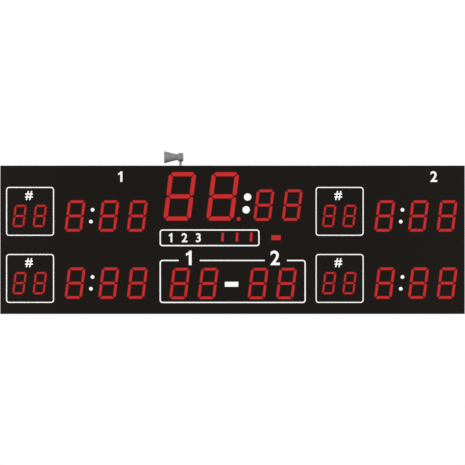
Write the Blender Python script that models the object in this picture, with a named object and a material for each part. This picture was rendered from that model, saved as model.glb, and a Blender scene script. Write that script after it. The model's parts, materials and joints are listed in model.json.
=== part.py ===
# Wall-mounted LED scoreboard for floorball: a shallow cabinet with a hinged front, gas struts, latches,
# segment lenses, LED boards, a mains switch and a small horn on a swivelling bracket.
#
# Metres. X runs along the board, Y points at the wall, whose surface is y = 0, and Z is up. Heights in this
# script are counted from the board's bottom edge. One empty carries the whole board and puts the world's
# origin at the centre of the wall rail's back face.

import math

import bmesh
import bpy
from mathutils import Vector

# Board
BOARD_WIDTH = 2.880
BOARD_HEIGHT = 0.920
BOARD_DEPTH = 0.110
GAP = 0.0003            # air between two pieces that touch
FACE_SHEET = 0.002
WALL_SPACE = 0.0197     # air between the back panel and the wall
OVERCUT = 0.001         # how far a cutting shape runs past what it cuts
EDGE_BREAK = 0.001      # broken edge on turned pieces
WELD = 1e-6             # points nearer than this are one

# Front frame: angle members behind the face sheet
ANGLE_WALL = 0.002
ANGLE_RETURN = 0.0127
ANGLE_FLANGE = 0.026

# Cabinet frame: channel members
CHANNEL_WALL = 0.0025
CHANNEL_LIP = 0.012
CHANNEL_FLANGE = 0.025
CABINET_STEP = 0.003    # cabinet sides lie this far inside the front's outline
CABINET_SETBACK = 0.008  # from the back of the face sheet to the cabinet's lip
MITRE_GAP = 0.0002
BACK_SHEET = 0.002
BACK_INSET = 0.004
GASKET_WIDTH = 0.010
GASKET_INSET = 0.001

# Piano hinge
HINGE_RADIUS = 0.004
HINGE_WALL = 0.0014
HINGE_BACK = 0.020      # hinge axis behind the back of the face sheet
HINGE_LEAF = 0.0174
HINGE_KNUCKLES = 15
HINGE_END = 0.010       # from the cabinet's end to the hinge's end
HINGE_ARC_STEPS = 8
HINGE_CURL = math.radians(-200)  # where the curl round the pin ends

# Digits: height, width and stroke of each size
LARGE = (0.3035, 0.172, 0.0285)
MEDIUM = (0.1975, 0.111, 0.020)
SMALL = (0.141, 0.077, 0.015)
SLANT = 0.125           # sideways shift for each unit of height
CORNER_CUT = 0.85       # outer corner cut, in strokes
SEGMENT_GAP = 0.12      # gap between segments, in strokes
WAIST_NOTCH = 0.35      # notch at mid height, in strokes

# Places of the digits' centres. Clock and score: x from the board's centre line
CLOCK_DROP = 0.1908     # minutes, below the top edge
CLOCK_MINUTES = (-0.3267, -0.0608)
SECONDS_DROP = 0.2451
CLOCK_SECONDS = (0.1947, 0.3706)
CLOCK_POINT = (0.0373, 0.3306)
CLOCK_POINT_RADIUS = 0.013
SCORE_HEIGHT = 0.1890
HOME_SCORE = (-0.3274, -0.1513)
GUEST_SCORE = (0.1584, 0.3342)
PERIOD_HEIGHT = 0.4767
PERIOD_BARS = (-0.0614, 0.0279, 0.1159)
PERIOD_BAR = (0.018, 0.057)
PERIOD_LEAN = 0.05
PERIOD_DASH = (0.2700, 0.4731)
PERIOD_DASH_SIZE = (0.060, 0.033)
# Penalty blocks: x from the block's left edge, which is the board's left edge for the home block
BLOCK_WIDTH = 0.9593
NUMBER_DIGITS = (0.1188, 0.2446)
TIME_DIGITS = (0.4632, 0.6724, 0.8498)
UPPER_LINE_DROP = 0.3123
LOWER_LINE_HEIGHT = 0.1914

# Lens plates and LED boards
LENS_PLATE = 0.003
LENS_MARGIN = 0.008
LENS_CLIP = 0.004
WELL_DEPTH = 0.012
WELL_MARGIN = 0.006
LED_PCB = 0.0016
PLUG_SIZE = (0.030, 0.0065, 0.010)
PLUG_INSET = 0.060
POINT_SIDES = 16

# Gas struts
STRUT_ON_FRONT = (0.020, -0.110)  # front pivot from the hinge axis, (back, up)
STRUT_FOOT_DROP = 0.510  # cabinet pivot below the hinge axis
STRUT_FOOT_INSET = 0.028  # cabinet pivot in front of the cabinet's back
STRUT_INSET = 0.030     # strut's line inside the board's end
FRONT_OPEN = math.radians(75)
TUBE_RADIUS = 0.009
TUBE_LENGTH = 0.230
TUBE_START = 0.020
TUBE_NECK = (0.004, 0.005)  # start and radius
ROD_RADIUS = 0.004
ROD_TAIL = 0.045
TAIL_ROOM = 0.005       # bore left behind the rod's tail
EYE_RADIUS = 0.008
EYE_WIDTH = 0.010
STUD_RADIUS = 0.004
STUD_CAP = (0.006, 0.002)
PLATE = 0.003
ANCHOR_SIZE = (0.030, 0.050)
BRACKET_FOOT = (0.030, 0.056)
BRACKET_TIP = 0.012
BRACKET_TAPER = 0.006

# Quarter-turn latches
LATCH_INSET = 0.540     # from the board's end
LATCH_BACK = 0.044      # latch axis behind the front face
BARREL_RADIUS = 0.010
BARREL_HEAD = (0.014, 0.0024)
BARREL_TOP = 0.0237
BARREL_NUT = (0.0155, 0.005)
KEY_SOCKET = (0.008, 0.006)
CAM_ARM = (0.014, 0.034, 0.003)
CAM_BOLT = (0.006, 0.004)
CAM_HUB = 0.002         # hub radius beyond half the arm's width
CAM_CORNER = 0.003
KEEPER_REACH = (0.012, 0.036)
KEEPER_WALL = 0.002
KEEPER_LOW = 0.018
KEEPER_TOP = 0.036
KEEPER_PLAY = 0.0005
KEEPER_FOOT = 0.0146

# Mains switch and cable grommet in the cabinet's bottom
SWITCH_INSET = 0.240    # from the board's right end
SWITCH_BODY = (0.028, 0.020, 0.022)
SWITCH_BEZEL = (0.034, 0.026, 0.0024)
SWITCH_WELL = (0.0225, 0.0146, 0.0115)
ROCKER_HALF = 0.0105
ROCKER_TILT = math.radians(10)
ROCKER_PIVOT = 0.0059
ROCKER_EDGE = 0.002
ROCKER_CROWN = 0.0042
SWITCH_TAB = (0.0008, 0.006, 0.009)
SWITCH_TAB_PITCH = 0.008
GROMMET_INSET = 0.320
GROMMET_RADIUS = 0.010
GROMMET_FLANGE = 0.013
GROMMET_LIP = 0.0024
GROMMET_WALL = 0.003
GROMMET_SKIN = (0.0012, 0.002)  # closed skin, below and above the outer flange's seat

# Electronics in the cabinet
SUPPLY_X = 0.620
SUPPLY_HEIGHT = 0.430
SUPPLY_SIZE = (0.240, 0.030, 0.125)
SUPPLY_TRAY = 0.002
SUPPLY_LEDGE = 0.034
SUPPLY_TERMINALS = (0.031, 0.012, 0.016)  # from the right end: inner edge, outer edge, height
CONTROLLER_HEIGHT = 0.430
CONTROLLER_SIZE = (0.220, 0.0016, 0.140)
STANDOFF = (0.003, 0.010)  # radius and height
STANDOFF_EDGE = 0.008
SOCKET = (0.038, 0.012, 0.012)  # fitted parts: width, height, rise
SOCKET_EDGE = 0.006
SOCKET_PITCH = 0.050
SOCKET_COUNT = 4
DRIVER_CHIP = (0.022, 0.016, 0.003)
DRIVER_CHIP_UP = 0.028
PROCESSOR = (0.024, 0.024, 0.0035)
PROCESSOR_UP = -0.010
RELAY = (0.030, 0.026, 0.016)
RELAY_AT = (0.070, -0.013)
VENT = (0.070, 0.006)
VENT_DROP = 0.030       # first vent below the power supply
VENT_PITCH = 0.016
VENT_COUNT = 6

# Rails and spacers
RAIL_DROP = 0.120       # wall rail's centre below the top edge
RAIL_INSET = 0.240      # from the board's end
RAIL_WALL = 0.003
RAIL_UPRIGHT = 0.034
RAIL_SHELF = 0.014
RAIL_FOOT = 0.025
RAIL_SPACE = 0.006      # between the wall and the rail's upright
RAIL_SCREWS = 7
RAIL_SCREW_RADIUS = 0.004
RAIL_SCREW_DROP = 0.012
RAIL_SCREW_INSET = 0.050
RAIL_TAB = 0.026        # strip of the hanging rail above its hook
SPACER_INSET = 0.340    # from the board's end
SPACER_HEIGHT = 0.080
SPACER_SIZE = (0.090, 0.070)
SPACER_WALL = 0.003
SPACER_BRIM = 0.020

# Horn
HORN_X = -0.326         # base bolt and pivot bolt
HORN_CLEAR = 0.0046     # from the hinge leaf's edge to the horn bracket's foot
HORN_LIFT = 0.056       # horn's axis above the board's top edge
MOUTH_RADIUS = 0.040
MOUTH_REACH = 0.0993    # from the base bolt to the mouth
BELL_LENGTH = 0.077
NECK_RADIUS = 0.019
NECK_LENGTH = 0.0035
BELL_WALL = 0.0016
MOUTH_LIP = 0.0025
MOUTH_ROLL = 0.0015
DRIVER_RADIUS = 0.0273
DRIVER_LENGTH = 0.037
DRIVER_CHAMFER = 0.009
DRIVER_EDGE = 0.0015
PLUG_RADIUS = 0.009
PLUG_REACH = 0.008
PLUG_SHOULDER = (0.0056, 0.0054)  # reach and radius
HORN_SIDES = 32
BRACKET_WALL = 0.003
BRACKET_WIDTH = 0.016
BRACKET_BASE_RADIUS = 0.014
BOLT_RADIUS = 0.003
BOLT_HEAD = (0.0058, 0.004)
BOLT_TAIL = 0.002
BOSS_RADIUS = 0.008
BOSS_HOLE = 0.012
BOSS_STAND = 0.0024     # from the driver's side to the bracket's leg
BOLT_END_ROOM = 0.0005

# Places that follow from the sizes above
HALF_WIDTH = BOARD_WIDTH / 2
FRONT_Y = -BOARD_DEPTH
SHEET_BACK = FRONT_Y + FACE_SHEET
FRAME_FRONT = SHEET_BACK + GAP
CABINET_FRONT = SHEET_BACK + CABINET_SETBACK
BACK_BACK = -WALL_SPACE
BACK_FRONT = BACK_BACK - BACK_SHEET
CABINET_BACK = BACK_FRONT - GAP
CABINET_HALF = HALF_WIDTH - CABINET_STEP
HINGE_Y = SHEET_BACK + HINGE_BACK
HINGE_Z = BOARD_HEIGHT - ANGLE_WALL - GAP - HINGE_RADIUS
HINGE_PIN_RADIUS = HINGE_RADIUS - HINGE_WALL - GAP
CABINET_TOP = HINGE_Z - HINGE_RADIUS - GAP
CABINET_BOTTOM = CABINET_STEP
WEB_CUT = (CABINET_BOTTOM - OVERCUT, CABINET_BOTTOM + CHANNEL_WALL + OVERCUT)
LENS_BACK = FRAME_FRONT + LENS_PLATE
HORN_Y = HINGE_Y + HINGE_LEAF + HORN_CLEAR + BRACKET_BASE_RADIUS
HORN_Z = BOARD_HEIGHT + HORN_LIFT
LATCH_X = HALF_WIDTH - LATCH_INSET
LATCH_Y = FRONT_Y + LATCH_BACK
RAIL_LENGTH = BOARD_WIDTH - 2 * RAIL_INSET
RAIL_HEIGHT = BOARD_HEIGHT - RAIL_DROP
RAIL_OUTER = RAIL_SPACE + RAIL_WALL
SPACER_X = HALF_WIDTH - SPACER_INSET
STRUT_FOOT = (CABINET_BACK - STRUT_FOOT_INSET, HINGE_Z - STRUT_FOOT_DROP)
STRUT_HEAD = (HINGE_Y + STRUT_ON_FRONT[0], HINGE_Z + STRUT_ON_FRONT[1])

places = {}


def clear_scene():
    for old in list(bpy.data.objects):
        bpy.data.objects.remove(old, do_unlink=True)


def finish(name, colour, roughness, metallic=0.0):
    material = bpy.data.materials.new(name)
    material.use_nodes = True
    shader = material.node_tree.nodes["Principled BSDF"]
    shader.inputs["Base Color"].default_value = (*colour, 1.0)
    shader.inputs["Roughness"].default_value = roughness
    shader.inputs["Metallic"].default_value = metallic
    return material


def carrier(name, at, parent=None, lean=0.0):
    """An empty that carries other objects. A joint's empty stands on the joint's axis."""
    empty = bpy.data.objects.new(name, None)
    bpy.context.collection.objects.link(empty)
    empty.parent = parent
    empty.location = Vector(at) - places[parent.name] if parent else Vector(at)
    empty.rotation_euler = (lean, 0.0, 0.0)
    places[name] = Vector(at)
    return empty


def piece(name, shape, material, parent, at=(0, 0, 0), smooth=False, turn=0.0):
    """Makes shape, drawn round the point at, an object that parent carries."""
    bmesh.ops.recalc_face_normals(shape, faces=shape.faces)
    mesh = bpy.data.meshes.new(name)
    shape.to_mesh(mesh)
    shape.free()
    mesh.materials.append(material)
    if smooth:
        mesh.shade_smooth()
        mesh.set_sharp_from_angle(angle=math.radians(30))
    made = bpy.data.objects.new(name, mesh)
    bpy.context.collection.objects.link(made)
    made.parent = parent
    made.location = Vector(at) - places[parent.name]
    made.rotation_euler = (0.0, turn, 0.0)
    return made


def local_piece(name, shape, material, parent, smooth=False):
    """As piece, for a shape that is drawn in a leaning carrier's own axes."""
    made = piece(name, shape, material, parent, smooth=smooth)
    made.location = (0, 0, 0)
    return made


def combine(target, shape, operation):
    """Cuts shape from target, or joins it on. Both are drawn round the same point."""
    bmesh.ops.recalc_face_normals(shape, faces=shape.faces)
    name = f"{target.name}_{operation.lower()}_{len(target.modifiers)}"
    mesh = bpy.data.meshes.new(name)
    shape.to_mesh(mesh)
    shape.free()
    tool = bpy.data.objects.new(name, mesh)
    bpy.context.collection.objects.link(tool)
    tool.parent = target.parent
    tool.location = target.location
    tool.rotation_euler = target.rotation_euler
    tool.hide_render = True
    tool.display_type = "WIRE"
    modifier = target.modifiers.new(name, "BOOLEAN")
    modifier.operation = operation
    modifier.object = tool


def cut(target, shape):
    combine(target, shape, "DIFFERENCE")


def join(target, shape):
    combine(target, shape, "UNION")


def point_on(axis, pair, along):
    a, b = pair
    return {"x": (along, a, b), "y": (a, along, b), "z": (a, b, along)}[axis]


def prism(shape, axis, outline, start, end):
    """Adds outline, in the two other axes, extruded along axis from start to end."""
    face = shape.faces.new([shape.verts.new(point_on(axis, pair, start)) for pair in outline])
    grown = bmesh.ops.extrude_face_region(shape, geom=[face])["geom"]
    tops = [part for part in grown if isinstance(part, bmesh.types.BMVert)]
    bmesh.ops.translate(shape, verts=tops, vec=point_on(axis, (0, 0), end - start))
    return shape


def block(shape, low, high):
    rectangle = [(low[0], low[1]), (high[0], low[1]), (high[0], high[1]), (low[0], high[1])]
    return prism(shape, "z", rectangle, low[2], high[2])


def ring_of(count, radius, centre=(0, 0), start=0.0):
    """The corners of a regular outline, also used for circles."""
    return [
        (
            centre[0] + radius * math.cos(start + math.tau * step / count),
            centre[1] + radius * math.sin(start + math.tau * step / count),
        )
        for step in range(count)
    ]


def arc(radius, start, end, steps, centre=(0, 0)):
    angles = [start + (end - start) * step / steps for step in range(steps + 1)]
    return [(centre[0] + radius * math.cos(a), centre[1] + radius * math.sin(a)) for a in angles]


def turned(shape, profile, axis, sides, centre=(0, 0, 0), closed=False):
    """Adds profile, as (along, radius) pairs, spun round the line through centre along axis."""
    across = {"x": "y", "y": "z", "z": "x"}[axis]
    index = "xyz".index
    corners = []
    for along, radius in profile:
        spot = list(centre)
        spot[index(axis)] += along
        spot[index(across)] += radius
        corners.append(shape.verts.new(spot))
    pairs = list(zip(corners, corners[1:]))
    if closed:
        pairs.append((corners[-1], corners[0]))
    edges = [shape.edges.new(pair) for pair in pairs]
    direction = [0.0, 0.0, 0.0]
    direction[index(axis)] = 1.0
    around = {"cent": centre, "axis": direction, "angle": math.tau}
    bmesh.ops.spin(shape, geom=corners + edges, steps=sides, use_merge=True, **around)
    bmesh.ops.remove_doubles(shape, verts=shape.verts, dist=WELD)
    return shape


def mitred(shape, section, side, half, low, high):
    """Adds one side of a rectangular frame. The section is (y, inward from the outer edge) pairs."""
    ends = []
    for sign in (-1, 1):
        ring = []
        for y, inward in section:
            if side in ("bottom", "top"):
                z = low + inward if side == "bottom" else high - inward
                ring.append(shape.verts.new((sign * (half - inward - MITRE_GAP), y, z)))
            else:
                x = half - inward if side == "right" else inward - half
                z = low + inward + MITRE_GAP if sign < 0 else high - inward - MITRE_GAP
                ring.append(shape.verts.new((x, y, z)))
        ends.append(ring)
    for ring in ends:
        shape.faces.new(ring)
    count = len(section)
    for step in range(count):
        after = (step + 1) % count
        shape.faces.new((ends[0][step], ends[0][after], ends[1][after], ends[1][step]))
    return shape


def frame_ring(shape, section, half, low, high):
    """Adds a whole rectangular ring of the section, mitred at its four corners and in one piece."""
    rings = []
    for sign_x, sign_z in ((-1, -1), (1, -1), (1, 1), (-1, 1)):
        rings.append(
            [
                shape.verts.new(
                    (sign_x * (half - inward), y, low + inward if sign_z < 0 else high - inward)
                )
                for y, inward in section
            ]
        )
    count = len(section)
    for corner in range(4):
        this, other = rings[corner], rings[(corner + 1) % 4]
        for step in range(count):
            after = (step + 1) % count
            shape.faces.new((this[step], this[after], other[after], other[step]))
    return shape


def segment_outlines(size):
    """The seven segments of an upright digit, round its centre."""
    height, width, stroke = size
    cut_off = CORNER_CUT * stroke
    notch = WAIST_NOTCH * stroke
    right = width / 2
    top = height / 2
    slip = SEGMENT_GAP * stroke / math.sqrt(2)
    lid = [
        (right - cut_off, top),
        (right - cut_off / 2 - slip / 2, top - cut_off / 2 + slip / 2),
        (right - stroke - slip, top - stroke),
    ]
    lid += [(-x, z) for x, z in reversed(lid)]
    post = [
        (right, top - cut_off),
        (right - cut_off / 2 + slip / 2, top - cut_off / 2 - slip / 2),
        (right - stroke, top - stroke - slip),
        (right - stroke, stroke / 2 + slip),
        (right - stroke / 2, slip),
        (right, notch),
    ]
    bar = [
        (right - stroke - slip, stroke / 2),
        (right - stroke / 2 - slip, 0.0),
        (right - stroke - slip, -stroke / 2),
    ]
    bar += [(-x, -z) for x, z in bar]
    return [
        lid,
        post,
        [(x, -z) for x, z in post],
        [(x, -z) for x, z in lid],
        [(-x, -z) for x, z in post],
        [(-x, z) for x, z in post],
        bar,
    ]


def slanted(outline, centre, lean=SLANT):
    return [(centre[0] + x + lean * z, centre[1] + z) for x, z in outline]


def digit(size, centre):
    return [slanted(outline, centre) for outline in segment_outlines(size)]


def bar_mark(size, centre, lean):
    x, z = size[0] / 2, size[1] / 2
    return [slanted([(x, z), (-x, z), (-x, -z), (x, -z)], centre, lean)]


def dot_mark(radius, centre):
    return [ring_of(POINT_SIDES, radius, centre)]


def face_groups():
    """Each lens plate's name and the marks it shows. A mark is a list of outlines on the face."""
    top = BOARD_HEIGHT
    minutes = [digit(LARGE, (x, top - CLOCK_DROP)) for x in CLOCK_MINUTES]
    seconds = [digit(MEDIUM, (x, top - SECONDS_DROP)) for x in CLOCK_SECONDS]
    point = dot_mark(CLOCK_POINT_RADIUS, (CLOCK_POINT[0], top - CLOCK_POINT[1]))
    bars = [bar_mark(PERIOD_BAR, (x, PERIOD_HEIGHT), PERIOD_LEAN) for x in PERIOD_BARS]
    groups = {
        "clock_lens": minutes + seconds + [point],
        "period_lens": bars + [bar_mark(PERIOD_DASH_SIZE, PERIOD_DASH, 0.0)],
        "score_lens": [digit(MEDIUM, (x, SCORE_HEIGHT)) for x in HOME_SCORE + GUEST_SCORE],
    }
    for line, height in (("upper", top - UPPER_LINE_DROP), ("lower", LOWER_LINE_HEIGHT)):
        for team, edge in (("home", -HALF_WIDTH), ("guest", HALF_WIDTH - BLOCK_WIDTH)):
            numbers = [digit(SMALL, (edge + x, height)) for x in NUMBER_DIGITS]
            times = [digit(MEDIUM, (edge + x, height)) for x in TIME_DIGITS]
            groups[f"{team}_{line}_number_lens"] = numbers
            groups[f"{team}_{line}_time_lens"] = times
    return groups


def bounds_of(outlines, margin):
    xs = [x for outline in outlines for x, _ in outline]
    zs = [z for outline in outlines for _, z in outline]
    return (min(xs) - margin, min(zs) - margin), (max(xs) + margin, max(zs) + margin)


def make_front_panel(groups, front, material):
    sheet = bmesh.new()
    block(sheet, (-HALF_WIDTH, FRONT_Y, 0), (HALF_WIDTH, SHEET_BACK, BOARD_HEIGHT))
    panel = piece("front_panel", sheet, material, front)
    slots = bmesh.new()
    for marks in groups.values():
        for mark in marks:
            for outline in mark:
                prism(slots, "y", outline, FRONT_Y - OVERCUT, SHEET_BACK + OVERCUT)
    cut(panel, slots)


def clipped_rectangle(low, high, clip):
    """A rectangle with its corners cut at 45 degrees."""
    (x0, z0), (x1, z1) = low, high
    lower = [(x0 + clip, z0), (x1 - clip, z0), (x1, z0 + clip)]
    upper = [(x1, z1 - clip), (x1 - clip, z1), (x0 + clip, z1)]
    return lower + upper + [(x0, z1 - clip), (x0, z0 + clip)]


def make_lenses(groups, front, material):
    """Flat red filters that close the slots from behind, one for each group of marks."""
    for name, marks in groups.items():
        outlines = [outline for mark in marks for outline in mark]
        plate = clipped_rectangle(*bounds_of(outlines, LENS_MARGIN), LENS_CLIP)
        piece(name, prism(bmesh.new(), "y", plate, FRAME_FRONT, LENS_BACK), material, front)


def well_outline(outlines):
    """A slanted rectangle round one mark."""
    low, high = bounds_of(outlines, 0.0)
    middle = (low[1] + high[1]) / 2
    upright = [[(x - SLANT * (z - middle), z - middle) for x, z in outline] for outline in outlines]
    low, high = bounds_of(upright, WELL_MARGIN)
    corners = [(low[0], low[1]), (high[0], low[1]), (high[0], high[1]), (low[0], high[1])]
    return slanted(corners, (0, middle))


def make_led_board(name, lens_marks, front, material):
    """A circuit board with one reflector well for each mark, and plug sockets on its back."""
    wells = [well_outline(mark) for mark in lens_marks]
    low, high = bounds_of(wells, GAP)
    well_front = LENS_BACK + GAP
    well_back = well_front + WELL_DEPTH
    board = bmesh.new()
    block(board, (low[0], well_back, low[1]), (high[0], well_back + LED_PCB, high[1]))
    made = piece(name, board, material, front)
    fronts = bmesh.new()
    for well in wells:
        prism(fronts, "y", well, well_front, well_back + LED_PCB / 2)
    join(made, fronts)
    plugs = bmesh.new()
    middle = (low[1] + high[1]) / 2
    back = well_back + LED_PCB
    for x in (low[0] + PLUG_INSET, high[0] - PLUG_INSET):
        block(
            plugs,
            (x - PLUG_SIZE[0] / 2, back - LED_PCB / 2, middle - PLUG_SIZE[2] / 2),
            (x + PLUG_SIZE[0] / 2, back + PLUG_SIZE[1], middle + PLUG_SIZE[2] / 2),
        )
    join(made, plugs)


def make_led_boards(groups, front, material):
    boards = {
        "clock_led_board": ("clock_lens",),
        "period_led_board": ("period_lens",),
        "score_led_board": ("score_lens",),
    }
    for team in ("home", "guest"):
        for line in ("upper", "lower"):
            lenses = (f"{team}_{line}_number_lens", f"{team}_{line}_time_lens")
            boards[f"{team}_{line}_led_board"] = lenses
    for name, lenses in boards.items():
        make_led_board(name, [mark for lens in lenses for mark in groups[lens]], front, material)


def make_front_frame(front, material):
    back = FRAME_FRONT + ANGLE_RETURN
    section = [
        (FRAME_FRONT, 0.0),
        (back, 0.0),
        (back, ANGLE_WALL),
        (FRAME_FRONT + ANGLE_WALL, ANGLE_WALL),
        (FRAME_FRONT + ANGLE_WALL, ANGLE_FLANGE),
        (FRAME_FRONT, ANGLE_FLANGE),
    ]
    for side in ("top", "bottom", "left", "right"):
        shape = mitred(bmesh.new(), section, side, HALF_WIDTH, 0.0, BOARD_HEIGHT)
        piece(f"front_frame_{side}", shape, material, front)


def make_cabinet_frame(cabinet, material):
    rear = CABINET_BACK
    section = [
        (CABINET_FRONT, 0.0),
        (rear, 0.0),
        (rear, CHANNEL_FLANGE),
        (rear - CHANNEL_WALL, CHANNEL_FLANGE),
        (rear - CHANNEL_WALL, CHANNEL_WALL),
        (CABINET_FRONT + CHANNEL_WALL, CHANNEL_WALL),
        (CABINET_FRONT + CHANNEL_WALL, CHANNEL_LIP),
        (CABINET_FRONT, CHANNEL_LIP),
    ]
    made = {}
    for side in ("top", "bottom", "left", "right"):
        shape = mitred(bmesh.new(), section, side, CABINET_HALF, CABINET_BOTTOM, CABINET_TOP)
        made[side] = piece(f"cabinet_frame_{side}", shape, material, cabinet)
    return made


def make_gasket(cabinet, material):
    front = FRAME_FRONT + ANGLE_WALL + GAP
    back = CABINET_FRONT - GAP
    outer, inner = GASKET_INSET, GASKET_INSET + GASKET_WIDTH
    shoulder = GASKET_WIDTH / 4
    section = [
        (back, outer),
        (back, inner),
        ((front + back) / 2, inner),
        (front, inner - shoulder),
        (front, outer + shoulder),
        ((front + back) / 2, outer),
    ]
    shape = frame_ring(bmesh.new(), section, CABINET_HALF, CABINET_BOTTOM, CABINET_TOP)
    piece("gasket", shape, material, cabinet)


def make_back_panel(cabinet, material):
    low = (BACK_INSET - CABINET_HALF, BACK_FRONT, CABINET_BOTTOM + BACK_INSET)
    high = (CABINET_HALF - BACK_INSET, BACK_BACK, CABINET_TOP - BACK_INSET)
    panel = piece("back_panel", block(bmesh.new(), low, high), material, cabinet)
    vents = bmesh.new()
    for x in (-SUPPLY_X, SUPPLY_X):
        for step in range(VENT_COUNT):
            z = SUPPLY_HEIGHT - SUPPLY_SIZE[2] / 2 - VENT_DROP - VENT_PITCH * step
            block(
                vents,
                (x - VENT[0] / 2, BACK_FRONT - OVERCUT, z - VENT[1] / 2),
                (x + VENT[0] / 2, BACK_BACK + OVERCUT, z + VENT[1] / 2),
            )
    cut(panel, vents)


def rolled_leaf(turned_over):
    """A hinge leaf's section round the axis: a plate tangent to a curl, or the same turned over."""
    inner = HINGE_RADIUS - HINGE_WALL
    top, last = math.radians(90), HINGE_CURL
    outline = [(-HINGE_LEAF, HINGE_RADIUS)]
    outline += arc(HINGE_RADIUS, top, last, HINGE_ARC_STEPS)
    outline += arc(inner, last, top, HINGE_ARC_STEPS)
    outline += [(-HINGE_LEAF, inner)]
    sign = -1 if turned_over else 1
    return [(sign * y, sign * z) for y, z in outline]


def make_hinge(cabinet, front, steel):
    half = CABINET_HALF - HINGE_END
    pitch = 2 * half / HINGE_KNUCKLES
    room = HINGE_RADIUS + GAP
    at = (0, HINGE_Y, HINGE_Z)
    for name, parent, odd in (("hinge_leaf_front", front, 0), ("hinge_leaf_cabinet", cabinet, 1)):
        leaf = piece(name, prism(bmesh.new(), "x", rolled_leaf(odd), -half, half), steel, parent, at)
        notches = bmesh.new()
        for knuckle in range(HINGE_KNUCKLES):
            if knuckle % 2 == odd:
                continue
            start = -half + pitch * knuckle - GAP / 2
            first = start - (OVERCUT if knuckle == 0 else 0)
            last = start + pitch + GAP + (OVERCUT if knuckle == HINGE_KNUCKLES - 1 else 0)
            block(notches, (first, -room, -room), (last, room, room))
        cut(leaf, notches)
    pin = prism(bmesh.new(), "x", ring_of(12, HINGE_PIN_RADIUS), -half, half)
    piece("hinge_pin", pin, steel, cabinet, at, smooth=True)


def make_rails(cabinet, material):
    half = RAIL_LENGTH / 2
    centre = (0, 0, RAIL_HEIGHT)
    wall_section = [
        (0, -RAIL_FOOT),
        (0, RAIL_SHELF),
        (-RAIL_SPACE, RAIL_SHELF),
        (-RAIL_SPACE, RAIL_UPRIGHT),
        (-RAIL_OUTER, RAIL_UPRIGHT),
        (-RAIL_OUTER, RAIL_SHELF - RAIL_WALL),
        (-RAIL_WALL, RAIL_SHELF - RAIL_WALL),
        (-RAIL_WALL, -RAIL_FOOT),
    ]
    profile = prism(bmesh.new(), "x", wall_section, -half, half)
    rail = piece("wall_rail", profile, material, cabinet, centre)
    screws = bmesh.new()
    for step in range(RAIL_SCREWS):
        x = (step / (RAIL_SCREWS - 1) - 0.5) * (RAIL_LENGTH - 2 * RAIL_SCREW_INSET)
        hole = ring_of(12, RAIL_SCREW_RADIUS, (x, -RAIL_SCREW_DROP))
        prism(screws, "y", hole, -RAIL_WALL - OVERCUT, OVERCUT)
    cut(rail, screws)
    mount = BACK_BACK + GAP
    hook = -(RAIL_SPACE - RAIL_WALL) / 2
    crown = RAIL_UPRIGHT + RAIL_WALL
    hanging_section = [
        (mount, -RAIL_SHELF),
        (mount, crown + RAIL_TAB),
        (mount + RAIL_WALL, crown + RAIL_TAB),
        (mount + RAIL_WALL, crown + RAIL_WALL),
        (hook, crown + RAIL_WALL),
        (hook, RAIL_SHELF + GAP),
        (hook - RAIL_WALL, RAIL_SHELF + GAP),
        (hook - RAIL_WALL, crown),
        (mount + RAIL_WALL, crown),
        (mount + RAIL_WALL, -RAIL_SHELF),
    ]
    hanging = prism(bmesh.new(), "x", hanging_section, -half, half)
    piece("hanging_rail", hanging, material, cabinet, centre)


def make_spacers(cabinet, material):
    """Hat-shaped feet that hold the lower edge off the wall."""
    width, height = SPACER_SIZE
    front = BACK_BACK + GAP
    brim = width / 2
    crown = brim - SPACER_BRIM
    wall = SPACER_WALL
    section = [
        (-brim, front),
        (-crown, front),
        (-crown, -wall),
        (crown, -wall),
        (crown, front),
        (brim, front),
        (brim, front + wall),
        (crown + wall, front + wall),
        (crown + wall, 0),
        (-crown - wall, 0),
        (-crown - wall, front + wall),
        (-brim, front + wall),
    ]
    for side, x in (("left", -SPACER_X), ("right", SPACER_X)):
        shape = prism(bmesh.new(), "z", section, -height / 2, height / 2)
        piece(f"lower_spacer_{side}", shape, material, cabinet, (x, 0, SPACER_HEIGHT))


def make_supply(cabinet, material):
    width, depth, height = SUPPLY_SIZE
    at = (SUPPLY_X, BACK_FRONT - GAP, SUPPLY_HEIGHT)
    tray = block(bmesh.new(), (-width / 2, -SUPPLY_TRAY, -height / 2), (width / 2, 0, height / 2))
    supply = piece("power_supply", tray, material, cabinet, at)
    sunk = -SUPPLY_TRAY / 2
    cover_end = width / 2 - SUPPLY_LEDGE
    cover = block(bmesh.new(), (-width / 2, -depth, -height / 2), (cover_end, sunk, height / 2))
    join(supply, cover)
    inner, outer, rise = SUPPLY_TERMINALS
    edge = height / 2 - SUPPLY_TRAY
    terminals = block(bmesh.new(), (width / 2 - inner, -rise, -edge), (width / 2 - outer, sunk, edge))
    join(supply, terminals)


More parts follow.
